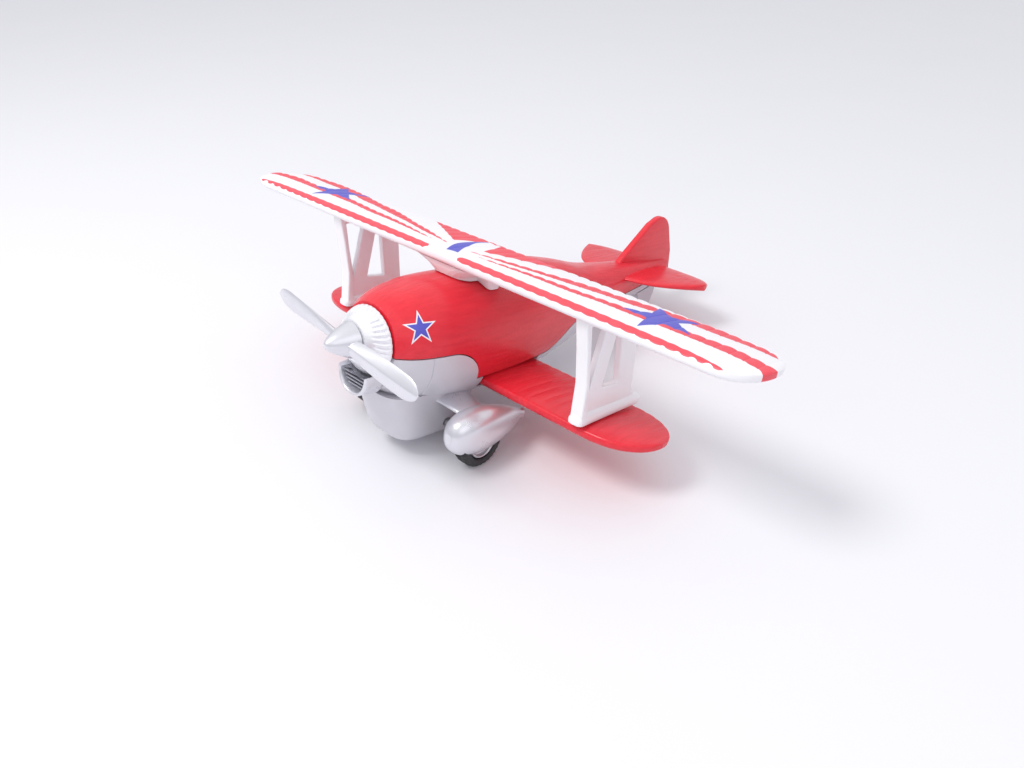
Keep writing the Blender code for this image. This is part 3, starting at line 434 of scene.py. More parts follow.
def wing_print_material():
    """White wing with red stripes and triangles, a blue swoosh and two blue stars."""
    material, tree, shader = start_material("white_printed_plastic", 0.34)
    x, y, z = place_fields(tree)
    span = x.absolute()
    wave_depth, fibre_depth = -0.13, 0.22
    wave = (span * (2 * math.pi / RIB_PITCH)).math('COSINE') * wave_depth
    fibre = (noise_field(tree, 1.2, 2.0) - 0.5) * fibre_depth

    def stripe(centre, half):
        centre_line = curve_field(span, centre, PRINT_REACH, -22.0, 0.0)
        half_width = curve_field(span, half, PRINT_REACH, -0.5, 3.0)
        return (half_width + wave + fibre - (y - centre_line + wave * 0.7).absolute()).step()

    front = stripe(
        ((0, -19.3), (64, -19.3), (70, -19.4), (78, -19.8), (84, -20.2)),
        ((0, 0.95), (60, 0.95), (68, 0.75), (74, 0.35), (78, -0.1), (84, -0.5)))
    # Its inner ends are round, and it stops part of the way down the leading edge
    middle_x, end_x, end_y = 0.5, 5.2, -19.2
    inner_end = (x - middle_x).absolute() - end_x - (y - end_y).absolute().math('POWER', 2.0)
    edge_y, edge_z, edge_slope = -19.9, -0.38, 0.5
    front_limit = z + (y - edge_y) * edge_slope + wave * 0.6 - edge_z
    front = front * inner_end.step(0.2) * front_limit.step(0.08)
    second = stripe(
        ((0, -15.6), (10, -14.7), (24, -13.1), (36, -12.5), (42, -11.8), (50, -11.3), (60, -11.2),
         (67, -11.1), (72, -11.0), (77, -11.7), (84, -12.6)),
        ((0, -0.5), (8, -0.1), (10, 0.15), (24, 0.8), (36, 1.1), (42, 1.1), (50, 1.5), (60, 1.5),
         (67, 1.6), (72, 1.9), (77, 1.8), (84, 2.3)))
    third = stripe(
        ((0, -14.6), (5, -13.4), (10, -12.2), (15.5, -11.0), (21, -9.7), (28, -8.0), (34.5, -6.6),
         (40, -5.8), (46, -4.8), (52, -3.4), (58, -2.4), (65, -2.2), (71, -2.5), (76.5, -3.0),
         (80, -4.3), (84, -6.0)),
        ((0, -0.5), (5, 0.15), (10, 0.5), (15.5, 0.95), (21, 1.0), (28, 1.5), (34.5, 1.8), (40, 1.6),
         (46, 2.0), (52, 1.9), (58, 1.9), (65, 2.1), (71, 1.5), (76.5, 1.2), (80, 0.0), (84, -0.5)))

    tip_x, tip_y, tip_slope = 5.2, -10.3, 9.9 / 17.3
    hypotenuse = (y - tip_y) - (span - tip_x) * tip_slope
    inner_x, inner_y, inner_slope = 2.0, -0.8, 3.2 / 9.5
    inner_edge = span - inner_x + (y - inner_y) * inner_slope
    triangle = hypotenuse.step(0.15) * inner_edge.step(0.15)
    strip_x, strip_y = 6.0, -0.9
    strip = (y - strip_y).step(0.1) * (-(span - strip_x)).step(0.1)
    red_mask = front.maximum(second).maximum(third).maximum(triangle).maximum(strip)

    chord = 21.0
    left_edge = curve_field(
        -y, ((0, -1.4), (1.5, -2.0), (5.9, -3.2), (10.7, -2.9), (14.5, -1.6), (17.5, -0.2), (chord, 1.2)),
        chord, -5.0, 5.0)
    right_edge = curve_field(
        -y, ((0, -1.4), (1.5, -1.6), (4.6, -1.8), (10, -0.1), (12.5, 1.0), (16.8, 3.1), (chord, 5.0)),
        chord, -5.0, 5.0)
    swoosh_front, swoosh_back, front_slope = -17.4, -1.5, 0.2
    front_cut = y - swoosh_front - x * front_slope
    back_cut = -(y - swoosh_back)
    swoosh = (x - left_edge).step(0.12) * (right_edge - x).step(0.12) * front_cut.step(0.12) * back_cut.step()
    star_x, star_y, star_radius = 55.2, -8.2, 9.1
    star = star_field(span - star_x, y - star_y, star_radius, -90.0)
    blue_mask = swoosh.maximum(star)

    underside_z = -1.7
    above = (z - underside_z).step(0.3)
    drift = noise_field(tree, 9.0, 4.0)
    base = mix_colour(tree, drift, WHITE, WHITE_SHADE)
    ink_red = mix_colour(tree, noise_field(tree, 2.2, 4.0), STRIPE_RED, STRIPE_RED_PALE)
    ink_blue = mix_colour(tree, noise_field(tree, 2.2, 4.0), STAR_BLUE, STAR_BLUE_PALE)
    printed = mix_colour(tree, red_mask * above, base, ink_red)
    printed = mix_colour(tree, blue_mask * above, printed, ink_blue)
    tree.links.new(printed.socket, shader.inputs["Base Color"])
    rough = drift * 0.10 + 0.30 + red_mask.maximum(blue_mask) * 0.06
    tree.links.new(rough.socket, shader.inputs["Roughness"])
    add_bump(tree, shader, noise_field(tree, 0.5, 2.0), 0.015)
    return material


def red_enamel_material(name, with_star):
    """Gloss red enamel over die-cast metal, with soft streaks along the body: shallow ripples in the bump and
    roughness, and painted sheen in the colour.
    """
    material, tree, shader = start_material(name, 0.30, 0.0, 0.35, 0.18)
    shader.inputs["Specular IOR Level"].default_value = 0.35
    ripple_and_painted_sheen = noise_field(tree, 1.3, 5.0, (0.9, 8.0, 0.9), 0.6)
    drift = noise_field(tree, 8.0, 4.0)
    # Painted sheen: the streaks lighten and darken the red in bands along the body, standing in for streaky
    # reflections on the cowl; the drift adds a random change of the paint's tone
    colour = mix_colour(tree, (ripple_and_painted_sheen - 0.5) * 1.5 + drift * 0.5 + 0.2, RED, RED_DEEP)
    if with_star:
        x, y, z = place_fields(tree)
        centre_x, centre_y, centre_z = 9.94, -33.14, -13.1
        out, back, up = x.absolute() - centre_x, y - centre_y, z - centre_z
        along = out * 0.271 + back * 0.952 + up * 0.143
        across = up * 0.885 - out * 0.466
        side = (x.absolute() - 5.0).step(0.5)
        tip_angle = 84.0
        outline = star_field(along, across, 4.15, tip_angle, 0.05) * side
        star = star_field(along, across, 3.2, tip_angle, 0.05) * side
        colour = mix_colour(tree, outline, colour, WHITE_SHADE)
        colour = mix_colour(tree, star, colour, STAR_BLUE)
    tree.links.new(colour.socket, shader.inputs["Base Color"])
    rough = ripple_and_painted_sheen * 0.22 + 0.22
    tree.links.new(rough.socket, shader.inputs["Roughness"])
    add_bump(tree, shader, ripple_and_painted_sheen * 0.85 + noise_field(tree, 0.7, 2.0) * 0.15, 0.20)
    return material


def silver_material(name, colour, darker, metallic, roughness):
    """Silver-pigmented plastic: fine flakes and a slightly uneven moulded skin."""
    grain = 0.35
    material, tree, shader = start_material(name, roughness, metallic, 0.25, 0.2)
    flakes = noise_field(tree, 0.12, 1.0)
    drift = noise_field(tree, 5.0, 3.0)
    mixed = mix_colour(tree, flakes * grain + drift * (1 - grain), colour, darker)
    tree.links.new(mixed.socket, shader.inputs["Base Color"])
    rough = drift * 0.12 + flakes * 0.06 + (roughness - 0.09)
    tree.links.new(rough.socket, shader.inputs["Roughness"])
    add_bump(tree, shader, flakes * 0.08 + noise_field(tree, 1.4, 2.0) * 0.92, 0.018)
    return material


# Wings

def rib_value(x):
    """0 on the crest of a rib and -1 in the groove beside it."""
    return abs(math.sin(math.pi * x / RIB_PITCH)) ** 0.6 - 1.0


def wing_stations(half_span):
    """Span stations, close together in the grooves and round the tip."""
    fine = (0.0, 0.035, 0.08, 0.15, 0.25, 0.37, 0.5, 0.63, 0.75, 0.85, 0.92, 0.965)
    stations = []
    k = 0
    while (k + 1) * RIB_PITCH < half_span - 0.6:
        stations += [(k + t) * RIB_PITCH for t in fine]
        k += 1
    start = k * RIB_PITCH
    steps = 16
    for s in range(steps + 1):
        stations.append(start + (half_span - start) * math.sin(math.pi / 2 * s / steps))
    return [-x for x in reversed(stations[1:])] + stations


def wing_height(t):
    """Share of the full thickness at t, from the leading edge 0 to the trailing edge 1."""
    crest = 0.3
    if t < crest:
        return 1 - 0.16 * ((crest - t) / crest) ** 2.2
    return 1 - 0.36 * ((t - crest) / (1 - crest)) ** 1.8


def wing_section(leading, trailing, top_z, thickness, rib, scallop):
    """A section with a round leading edge and a flat underside, as a closed ring of (y, z)."""
    chord = max(trailing - leading, 0.1)
    bottom = top_z - thickness
    low = min(1.3, thickness * 0.45, chord * 0.2)
    high = min(0.8, thickness * 0.28, chord * 0.12)
    nose_z = bottom + thickness * wing_height(0.0)
    ring = []
    steps = 7
    angles = [math.pi / 2 * k / steps for k in range(steps + 1)]
    for angle in angles:
        ring.append((leading + low * (1 - math.sin(angle)), bottom + low * (1 - math.cos(angle))))
    for angle in angles:
        ring.append((leading + high * (1 - math.cos(angle)), nose_z - high * (1 - math.sin(angle))))
    samples = 20
    for k in range(1, samples + 1):
        t = k / samples
        y = leading + high + (chord - high) * t
        fade = min(1.0, t * 5)
        z = bottom + thickness * wing_height((y - leading) / chord) + rib * fade
        ring.append((y - (scallop * 0.5 if k == samples else 0.0), z))
    ring.append((trailing - scallop, bottom + 0.30 * thickness))
    ring.append((trailing - min(0.3, chord * 0.1) - scallop, bottom))
    return ring


def wing_outline(x, half_span, tip_length, leading, chord):
    """Leading and trailing edge of a wing at x."""
    reach = max(0.0, (abs(x) - (half_span - tip_length)) / tip_length)
    factor = math.sqrt(max(0.0, 1 - min(reach, 0.9995) ** 2.4))
    middle = leading + chord * 0.52
    return middle + (leading - middle) * factor, middle + (leading + chord - middle) * factor


def ribbed_wing(half_span, tip_length, leading_y, chord, top_z, thickness, depth):
    """A straight wing with rounded tips and ribs across its upper side."""
    rings = []
    tip_share, scallop_depth = 0.35, 0.14
    rib_fade, scallop_fade = 3.0, 6.0
    for x in wing_stations(half_span):
        leading, trailing = wing_outline(x, half_span, tip_length, leading_y, chord)
        share = min(1.0, (trailing - leading) / chord)
        thin = thickness * (tip_share + (1 - tip_share) * share)
        drop = (thickness - thin) / 2
        to_tip = max(0.0, half_span - abs(x))
        rib = rib_value(x) * depth * min(1.0, to_tip / rib_fade)
        scallop = -rib_value(x) * scallop_depth * min(1.0, to_tip / scallop_fade)
        section = wing_section(leading, trailing, top_z - drop, thin, rib, scallop)
        rings.append([Vector((x, y, z)) for y, z in section])
    return loft(rings)


# Body

def seam_z(y):
    """Height of the line between the red body and the grey base."""
    if y <= SEAM_STEP_START:
        return SEAM_COWL_Z
    if y <= SEAM_STEP_END:
        t = (y - SEAM_STEP_START) / (SEAM_STEP_END - SEAM_STEP_START)
        return SEAM_LOW_Z + (SEAM_COWL_Z - SEAM_LOW_Z) * math.sqrt(max(0.0, 1 - t ** 2))
    if y <= SEAM_RISE_START:
        return SEAM_LOW_Z
    if y <= SEAM_RISE_END:
        t = (y - SEAM_RISE_START) / (SEAM_RISE_END - SEAM_RISE_START)
        return SEAM_LOW_Z + (SEAM_TAIL_Z - SEAM_LOW_Z) * t * t * (3 - 2 * t)
    tail_slope = 5.5 / 74.0
    return SEAM_TAIL_Z + tail_slope * (y - SEAM_RISE_END)


def body_section(y):
    top = smooth_value(BODY_STATIONS, 1, y)
    bottom = smooth_value(BODY_STATIONS, 2, y)
    half_width = smooth_value(BODY_STATIONS, 3, y)
    return (top + bottom) / 2, half_width, (top - bottom) / 2


def seam_angle(y, z):
    """Parameter angle on the right-hand side where the body's ring crosses height z."""
    centre, _, half_height = body_section(y)
    share = max(-0.999, min(0.999, (z - centre) / half_height))
    return math.copysign(math.asin(abs(share) ** (BODY_ROUNDNESS / 2)), share)


def body_arc(y, z, upper, count, inset):
    """The body's ring above or below height z, closed by a straight line."""
    centre, half_width, half_height = body_section(y)
    start = seam_angle(y, z)
    end = math.pi - start
    if not upper:
        start, end = end - 2 * math.pi, start
    ring = []
    for k in range(count + 1):
        angle = start + (end - start) * k / count
        x, dz = superellipse(angle, half_width - inset, half_height - inset, BODY_ROUNDNESS)
        ring.append(Vector((x, y, centre + dz)))
    first, last = ring[0], ring[-1]
    closing = 6
    for k in range(1, closing):
        ring.append(last.lerp(first, k / closing))
    return ring


def body_places(grooves=()):
    """Stations along the body with their inset, close together at grooves and at the seam's step."""
    places = []
    steps = 150
    for k in range(steps + 1):
        places.append((BODY_FRONT + (BODY_BACK - BODY_FRONT) * k / steps, 0.0))
    edge, floor_edge = 0.16, 0.08
    for y, depth in grooves:
        places = [(p, d) for p, d in places if abs(p - y) > 0.3]
        places += [(y - edge, 0.0), (y - floor_edge, depth), (y + floor_edge, depth), (y + edge, 0.0)]
    for y in (SEAM_STEP_START, -24.9, -17.2, -16.6, -16.3, -16.1, SEAM_STEP_END):
        places.append((y, 0.0))
    return sorted(places)


def make_body(materials):
    rings = [body_arc(y, seam_z(y), True, 72, inset) for y, inset in body_places()]
    body = new_object("red_body", loft(rings))
    apply_boolean(body, cockpit_form(), 'DIFFERENCE')
    piece(body, materials["enamel_star"], ["fuselage_body"])


def cockpit_form():
    """The opening of the cockpit, rounded in plan and shallow."""
    rings = []
    centre_y = 7.2
    half_width, half_length = 4.1, 4.0
    points = 48
    for z, grow in ((-9.4, -0.9), (-9.2, -0.5), (-8.6, -0.1), (-6.0, 0.0), (-2.0, 0.2)):
        ring = []
        for k in range(points):
            x, y = superellipse(2 * math.pi * k / points, half_width + grow, half_length + grow, 2.3)
            ring.append(Vector((x, centre_y + y, z)))
        rings.append(ring)
    return loft(rings)


HOUSING_LOW_Z = -44.8
SCREWS = ((0.0, -29.0, HOUSING_LOW_Z), (0.0, -17.0, HOUSING_LOW_Z))


def base_top(y):
    """Upper edge of the grey base: the seam, or below the lower wing where that passes through."""
    if WING_GAP_START <= y <= WING_GAP_END:
        return -31.9
    joint = 0.3
    return seam_z(y) - joint


def housing_sections():
    """Smooth sections of the motor housing from its flat underside up into the base."""
    stations = ((HOUSING_LOW_Z, 5.6, 8.0), (-44.5, 6.4, 8.8), (-43.9, 7.2, 9.7), (-42.6, 8.0, 10.6),
                (-40.0, 8.6, 11.6), (-36.0, 9.2, 13.0), (-31.0, 9.6, 15.0))
    centre_y = -23.0
    points = 80
    rings = []
    steps = 30
    for k in range(steps + 1):
        z = stations[0][0] + (stations[-1][0] - stations[0][0]) * (k / steps) ** 1.6
        half_width = smooth_value(stations, 1, z)
        half_length = smooth_value(stations, 2, z)
        ring = []
        for n in range(points):
            y, x = superellipse(2 * math.pi * n / points, half_length, half_width, 4.0)
            ring.append(Vector((x, centre_y + y, z)))
        rings.append(ring)
    return rings


def lathe(profile, sides, place=(0.0, 0.0, 0.0), upright=False, shape=None, closed=False):
    """A body turned round an axis along X, or an upright one, from pairs of position and radius.

    shape changes a radius with its angle, and closed joins the profile's ends into a ring.
    """
    rings = []
    for along, radius in profile:
        ring = []
        for k in range(sides):
            angle = 2 * math.pi * k / sides
            r = shape(along, radius, angle) if shape else radius
            across = (r * math.cos(angle), r * math.sin(angle))
            point = (*across, along) if upright else (along, *across)
            ring.append(Vector([p + q for p, q in zip(place, point)]))
        rings.append(ring)
    return loft(rings, closed)


def side_name(side):
    return "left" if side > 0 else "right"


def box_form(size, place, turn=0.0):
    """A box of size around place, turned about a vertical axis."""
    bm = bmesh.new()
    bmesh.ops.create_cube(bm, size=1.0)
    bmesh.ops.scale(bm, vec=size, verts=bm.verts)
    bmesh.ops.rotate(bm, matrix=Matrix.Rotation(turn, 3, 'Z'), verts=bm.verts)
    bmesh.ops.translate(bm, vec=place, verts=bm.verts)
    return bm


def make_base(materials):
    """The light grey base: lower body, motor housing, an engraved joint line and wells for the screws."""
    places = body_places(((-30.4, 0.16), (31.0, 0.12)))
    places = [(y, d) for y, d in places if abs(y - WING_GAP_START) > 0.2 and abs(y - WING_GAP_END) > 0.2]
    step = 0.02
    for y in (WING_GAP_START - step, WING_GAP_START, WING_GAP_END, WING_GAP_END + step):
        places.append((y, 0.0))
    rings = [body_arc(y, base_top(y), False, 60, inset) for y, inset in sorted(places)]
    base = new_object("grey_base", loft(rings))
    apply_boolean(base, loft(housing_sections()), 'UNION')
    reach = 30.0
    axle_hole = lathe(((-reach, AXLE_HOLE_RADIUS), (reach, AXLE_HOLE_RADIUS)), 32, AXLE)
    apply_boolean(base, axle_hole, 'DIFFERENCE')
    well_radius = 1.5
    for place in SCREWS:
        well = lathe(((-1.0, well_radius), (0.7, well_radius)), 32, place, upright=True)
        apply_boolean(base, well, 'DIFFERENCE')
    piece(base, materials["grey"], ["belly_base"])


def make_screws(materials):
    """Small cross-head screws that close the housing from below."""
    for number, place in enumerate(SCREWS):
        profile = ((0.9, 0.9), (0.75, 1.25), (0.5, 1.3), (0.36, 1.15), (0.28, 0.8), (0.25, 0.3))
        screw = new_object("housing_screw_%d" % (number + 1), lathe(profile, 32, place, upright=True))
        for turn in (0.3, 0.3 + math.pi / 2):
            slot = box_form((1.5, 0.28, 0.6), (place[0], place[1], place[2] + 0.3), turn)
            apply_boolean(screw, slot, 'DIFFERENCE')
        piece(screw, materials["steel"])


# Wheels and legs

def make_main_wheel(side, materials):
    """A tyre with grooves and notched shoulders, and its dished hub."""
    name = side_name(side)
    place = (side * WHEEL_X, 0.0, 0.0)
    half, radius, core = 2.3, 6.5, 4.3
    groove = 0.18
    notch = 0.22
    notches = 30
    shoulder_x = 0.6
    outer = [(core, half - 0.3), (core + 0.3, half), (radius - 1.1, half - 0.02), (radius - 0.5, half - 0.3),
             (radius - 0.15, half - 0.7), (radius, half - 1.1)]
    tread = [(radius, 0.50), (radius - groove, 0.44), (radius - groove, 0.20), (radius, 0.14)]
    profile = [(x, r) for r, x in outer + tread]
    profile += [(-x, r) for x, r in reversed(profile)]

    def shape(x, r, angle):
        shoulder = r > radius - 0.6 and abs(x) > shoulder_x
        cut = (angle * notches / (2 * math.pi)) % 1.0 < 0.4
        return r - notch if shoulder and cut else r

    tyre = new_object("tyre_" + name, lathe(profile, 180, place, shape=shape, closed=True), AXLE_FRAME, 30.0)
    piece(tyre, materials["rubber"], ["tyre_" + name], "main_wheels")
    dish = [(-1.93, 3.0), (-1.93, 3.9), (-1.8, 4.0), (1.75, 4.0), (1.93, 3.85), (1.93, 3.55), (1.75, 3.4),
            (1.25, 3.2), (1.0, 2.7), (1.0, 2.1), (1.2, 1.85), (1.75, 1.7), (1.93, 1.5), (1.93, 0.9),
            (1.6, 0.7), (1.6, 0.2)]
    hub = new_object("hub_" + name, lathe([(side * x, r) for x, r in dish], 96, place), AXLE_FRAME)
    piece(hub, materials["silver"], ["wheel_hub_" + name], "main_wheels")


def make_tail_wheel(materials):
    profile = [(1.2, 0.9), (1.2, 1.9), (1.05, 2.1), (1.05, 2.7), (0.95, 3.1), (0.6, 3.35), (0.25, 3.4),
               (0.18, 3.25)]
    profile += [(-x, r) for x, r in reversed(profile)]
    wheel = new_object("tail_tyre", lathe(profile, 72, closed=True), TAIL_FRAME)
    piece(wheel, materials["rubber"], ["tail_wheel"], "tail_wheel")


def make_gear(side, materials):
    """A landing gear leg with its streamlined wheel cover, open below for the wheel."""
    name = side_name(side)
    wheel_place = Vector((side * WHEEL_X, AXLE.y, AXLE.z))
    rings = []
    steps = 40
    front, back = AXLE.y - 10.2, AXLE.y + 15.0
    cover_z = AXLE.z + 3.2
    half_width, half_height = 4.4, 5.6
    for k in range(steps + 1):
        y = front + (back - front) * (1 - math.cos(math.pi / 2 * k / steps))
        u = (y - front) / (back - front)
        fullness = max(0.10, math.sin(math.pi * u ** 0.62)) ** 0.62
        rings.append(oval_ring(y, cover_z, half_width * fullness, half_height * fullness, 2.4, 56,
                               wheel_place.x))
    gear = new_object("wheel_cover_" + name, loft(rings))
    leg = []
    leg_steps = 12
    root_x, root_z, foot_z = 7.6, -33.3, AXLE.z + 6.2
    for k in range(leg_steps + 1):
        t = k / leg_steps
        leg_half_length = 5.2 - 1.6 * t + 1.2 * (2 * t - 1) ** 6
        leg_half_height = 1.1 + 0.5 * (2 * t - 1) ** 8
        section = oval_ring(0, 0, leg_half_length, leg_half_height, 2.2, 40)
        x = side * (root_x + t * (WHEEL_X - root_x))
        z = root_z + t * (foot_z - root_z)
        leg.append([Vector((x, AXLE.y + point.x, z + point.z)) for point in section])
    apply_boolean(gear, loft(leg), 'UNION')
    cut_width, cut_radius, cut_drop = 6.0, 7.2, 20.0
    half = cut_width / 2
    slot = lathe(((-half, cut_radius), (half, cut_radius)), 72, wheel_place)
    apply_boolean(gear, slot, 'DIFFERENCE')
    drop = box_form((cut_width, 2 * cut_radius, cut_drop), wheel_place - Vector((0, 0, cut_drop / 2)))
    apply_boolean(gear, drop, 'DIFFERENCE')
    ends = (-8.0, 2.9) if side > 0 else (-2.9, 8.0)
    hole = lathe([(x, AXLE_HOLE_RADIUS) for x in ends], 32, wheel_place)
    apply_boolean(gear, hole, 'DIFFERENCE')
    piece(gear, materials["silver"], ["gear_" + name])


# Nose

def make_cone(materials):
    """Cone behind the propeller; the profile holds place, share of full size and flute depth."""
    flutes = 36
    points = flutes * 8
    front_y, back_y = -44.05, -39.0
    front_half, back_half_width, back_half_height = 4.6, 8.4, 8.2
    front_z, back_z = -17.2, -18.2
    flute_depth = 0.45
    rings = []
    profile = ((0.0, 0.80, 0.0), (0.02, 0.93, 0.0), (0.06, 1.0, 0.0), (0.14, 1.0, 0.0), (0.22, 1.0, 0.0),
               (0.30, 1.0, 0.15), (0.36, 1.0, 0.5), (0.42, 1.0, 0.9), (0.50, 1.0, 1.0), (0.58, 1.0, 1.0),
               (0.66, 1.0, 1.0), (0.74, 1.0, 1.0), (0.80, 1.0, 0.9), (0.85, 1.0, 0.6), (0.89, 1.0, 0.3),
               (0.94, 1.0, 0.2), (0.97, 1.0, 0.2), (1.0, 0.985, 0.2))
    for along, scale, flute in profile:
        spread = math.sin(math.pi / 2 * along)
        half_width = scale * (front_half + (back_half_width - front_half) * spread)
        half_height = scale * (front_half + (back_half_height - front_half) * spread)
        centre_z = front_z + (back_z - front_z) * spread
        ring = []
        for k in range(points):
            angle = 2 * math.pi * k / points
            dip = flute_depth * flute * (0.5 - 0.5 * math.cos(angle * flutes)) ** 2.2
            ring.append(Vector(((half_width - dip) * math.cos(angle), front_y + (back_y - front_y) * along,
                                centre_z + (half_height - dip) * math.sin(angle))))
        rings.append(ring)
    cone = new_object("fluted_cone", loft(rings))
    piece(cone, materials["bright_silver"], ["nose_cone"])


def intake_ring(y, inset):
    return oval_ring(y, -25.0 + (y + 43.6) * 0.08, 5.2 - inset, 6.0 - inset, 2.3, 72)


def cone_clearance():
    """The room that the cone takes out of the intake."""
    return loft([oval_ring(y, -18.2, 8.6, 8.4, 2.0, 96) for y in (-52.0, -38.7)])


def make_intake(materials):
    """Oval air intake under the nose: a tube with a rolled lip, a back plate and fine slats."""
    outside = ((-38.8, -0.5), (-42.2, 0.0), (-43.0, 0.02), (-43.35, 0.12), (-43.55, 0.32), (-43.6, 0.50))
    inside = ((-43.52, 0.68), (-43.3, 0.82), (-42.9, 0.88), (-38.9, 0.90))
    loops = [intake_ring(y, inset) for y, inset in (*outside, *inside)]
    tube = new_object("intake_tube", loft(loops))
    apply_boolean(tube, cone_clearance(), 'DIFFERENCE')
    piece(tube, materials["silver"], ["chin_intake"])

    grille = new_object("intake_slats", loft([intake_ring(-40.9, 0.95), intake_ring(-40.5, 0.95)]))
    pitch = 0.85
    half_width, half_height, roundness = 4.25, 5.05, 2.3
    depth, thickness = 1.7, 0.34
    for k in range(-5, 6):
        z = k * pitch
        reach = half_width * (1 - (abs(z) / half_height) ** roundness) ** (1 / roundness)
        slat = box_form((2 * reach, depth, thickness), (0, 0, 0))
        bmesh.ops.bevel(slat, geom=slat.edges, offset=0.08, segments=2, affect='EDGES')
        tilt = Matrix.Translation((0, -41.6, -24.85 + z)) @ Matrix.Rotation(math.radians(-20), 4, 'X')
        bmesh.ops.transform(slat, matrix=tilt, verts=slat.verts)
        apply_boolean(grille, slat, 'UNION')
    apply_boolean(grille, cone_clearance(), 'DIFFERENCE')
    piece(grille, materials["dark_silver"], ["intake_grille"])


def blade_rings(turn):
    """Sections of one blade from its root out, ridged along its middle and twisted."""
    rings = []
    steps = 48
    root, radius = 2.0, 25.4
    root_width, extra_width, widest = 3.4, 2.0, 0.65
    root_thickness, tip_thickness = 2.6, 1.3
    tip_start = 0.78
    for k in range(steps + 1):
        r = root + (radius - root) * math.sin(math.pi / 2 * k / steps)
        u = (r - root) / (radius - root)
        width = root_width + extra_width * math.sin(math.pi / 2 * min(1.0, u / widest))
        tip = math.sqrt(max(0.0, 1 - max(0.0, (u - tip_start) / (1 - tip_start)) ** 2))
        width *= max(0.10, tip)
        thick = (root_thickness * (1 - u) + tip_thickness * u) * max(0.35, tip)
        twist = math.radians(-24 + 16 * u)
        ring = []
        for point in oval_ring(0.0, 0.0, width / 2, thick / 2, 1.3, 40):
            y = point.z * math.cos(twist) - point.x * math.sin(twist)
            z = point.x * math.cos(twist) + point.z * math.sin(twist)
            ring.append(Matrix.Rotation(turn, 3, 'Y') @ Vector((r, y, z)))
        rings.append(ring)
    return rings


def make_propeller(materials):
    """Conical spinner and two blades, one moulding."""
    rings = []
    steps = 40
    tip_y, base_y = -5.2, 1.7
    for k in range(steps + 1):
        t = (k / steps) ** 1.5
        radius = 0.3 + 4.0 * t ** 0.62
        rings.append(oval_ring(tip_y + (base_y - tip_y) * t, 0.0, radius, radius, 2.0, 72))
    propeller = new_object("spinner_and_blades", loft(rings), PROP_FRAME)
    for turn in (0.0, math.pi):
        apply_boolean(propeller, loft(blade_rings(turn)), 'UNION', PROP_FRAME)
    piece(propeller, materials["silver"], ["propeller"], "propeller")


# Struts and pylon

def strut_outlines():
    """Side outlines of the N strut's thin plate and of its two openings."""
    top = -2.9
    bottom = -27.5
    plate = [(-17.6, top), (-0.3, top), (1.5, -6.0), (3.2, -12.0), (5.0, bottom + 3.0), (7.8, bottom),
             (-13.4, bottom), (-13.8, -18.0)]
    front_gap = [(-16.0, -4.3), (-8.8, -4.3), (-11.9, -21.2)]
    rear_gap = [(-5.0, -4.7), (-3.4, -4.7), (-0.6, -21.3), (-7.6, -20.8)]
    holes = [rounded_outline(front_gap, 1.2, 6), rounded_outline(rear_gap, 1.0, 6)]
    return rounded_outline(plate, 1.2, 6), holes


def strut_sections(x, sections, corner, taper):
    """Rings of an upright with rounded corners: z, front y, back y and half thickness."""
    rings = []
    for z, front, back, half in sections:
        ring = []
        for y, across in rounded_outline(((front, -half), (back, taper - half), (back, half - taper),
                                          (front, half)), corner, 8):
            ring.append(Vector((x + across, y, z)))
        rings.append(ring)
    return rings


def make_strut(side, materials):
    """Thin plate with two openings, a thicker front leg and a foot on the lower wing."""
    name = side_name(side)
    strut_x = 42.4
    x = side * strut_x
    plate, holes = strut_outlines()
    bm = outline_bm(plate, thickness=1.8, holes=holes, bevel=0.3, bevel_steps=3)
    bmesh.ops.translate(bm, vec=(x, 0, 0), verts=bm.verts)
    strut = new_object("white_strut_" + name, bm)
    leg = ((-27.4, -14.2, -11.9, 1.7), (-23.0, -14.3, -12.5, 1.7), (-18.5, -14.4, -13.1, 1.7),
           (-10.0, -16.2, -14.7, 1.7), (-2.6, -18.1, -16.2, 1.7))
    foot = ((-28.2, -14.6, 8.6, 1.85), (-28.0, -14.8, 8.9, 2.0), (-27.4, -14.9, 9.3, 2.05),
            (-26.8, -14.8, 9.4, 2.0), (-26.2, -14.5, 9.1, 1.7), (-25.8, -14.2, 8.7, 1.3),
            (-25.5, -13.9, 8.0, 0.8))
    for form, corner, taper in ((leg, 0.55, 0.0), (foot, 1.5, 0.4)):
        apply_boolean(strut, loft(strut_sections(x, form, corner, taper)), 'UNION')
    piece(strut, materials["white"], ["strut_" + name])


# Tail

TAIL_HALF_SPAN = 22.5


def tail_plan(x):
    """Leading and trailing edge of the tailplane at x."""
    u = min(abs(x) / TAIL_HALF_SPAN, 0.9985)
    factor = math.sqrt(1 - u ** 5)
    middle, back = 69.0, 75.2
    leading = 50.5 + 12.0 * u ** 2.4
    return middle + (leading - middle) * factor, middle + (back - middle) * factor


def make_tailplane(materials):
    """Flat tailplane with a hinge line across both sides."""
    rings = []
    steps = 48
    place_z = -15.2
    hinge_y, hinge_half, hinge_depth, hinge_reach = 67.6, 0.28, 0.22, 19.5
    for k in range(-steps, steps + 1):
        x = TAIL_HALF_SPAN * math.sin(math.pi / 2 * k / steps)
        leading, trailing = tail_plan(x)
        middle = (leading + trailing) / 2
        half = (trailing - leading) / 2
        ring = []
        for point in oval_ring(0.0, 0.0, half, 1.0, 2.6, 64):
            y = middle + point.x
            hinge = max(0.0, 1 - abs(y - hinge_y) / hinge_half)
            dip = math.copysign(hinge_depth * hinge, point.z) if abs(x) < hinge_reach else 0.0
            ring.append(Vector((x, y, place_z + point.z - dip)))
        rings.append(ring)
    tailplane = new_object("red_tailplane", loft(rings))
    piece(tailplane, materials["enamel"], ["tailplane"])


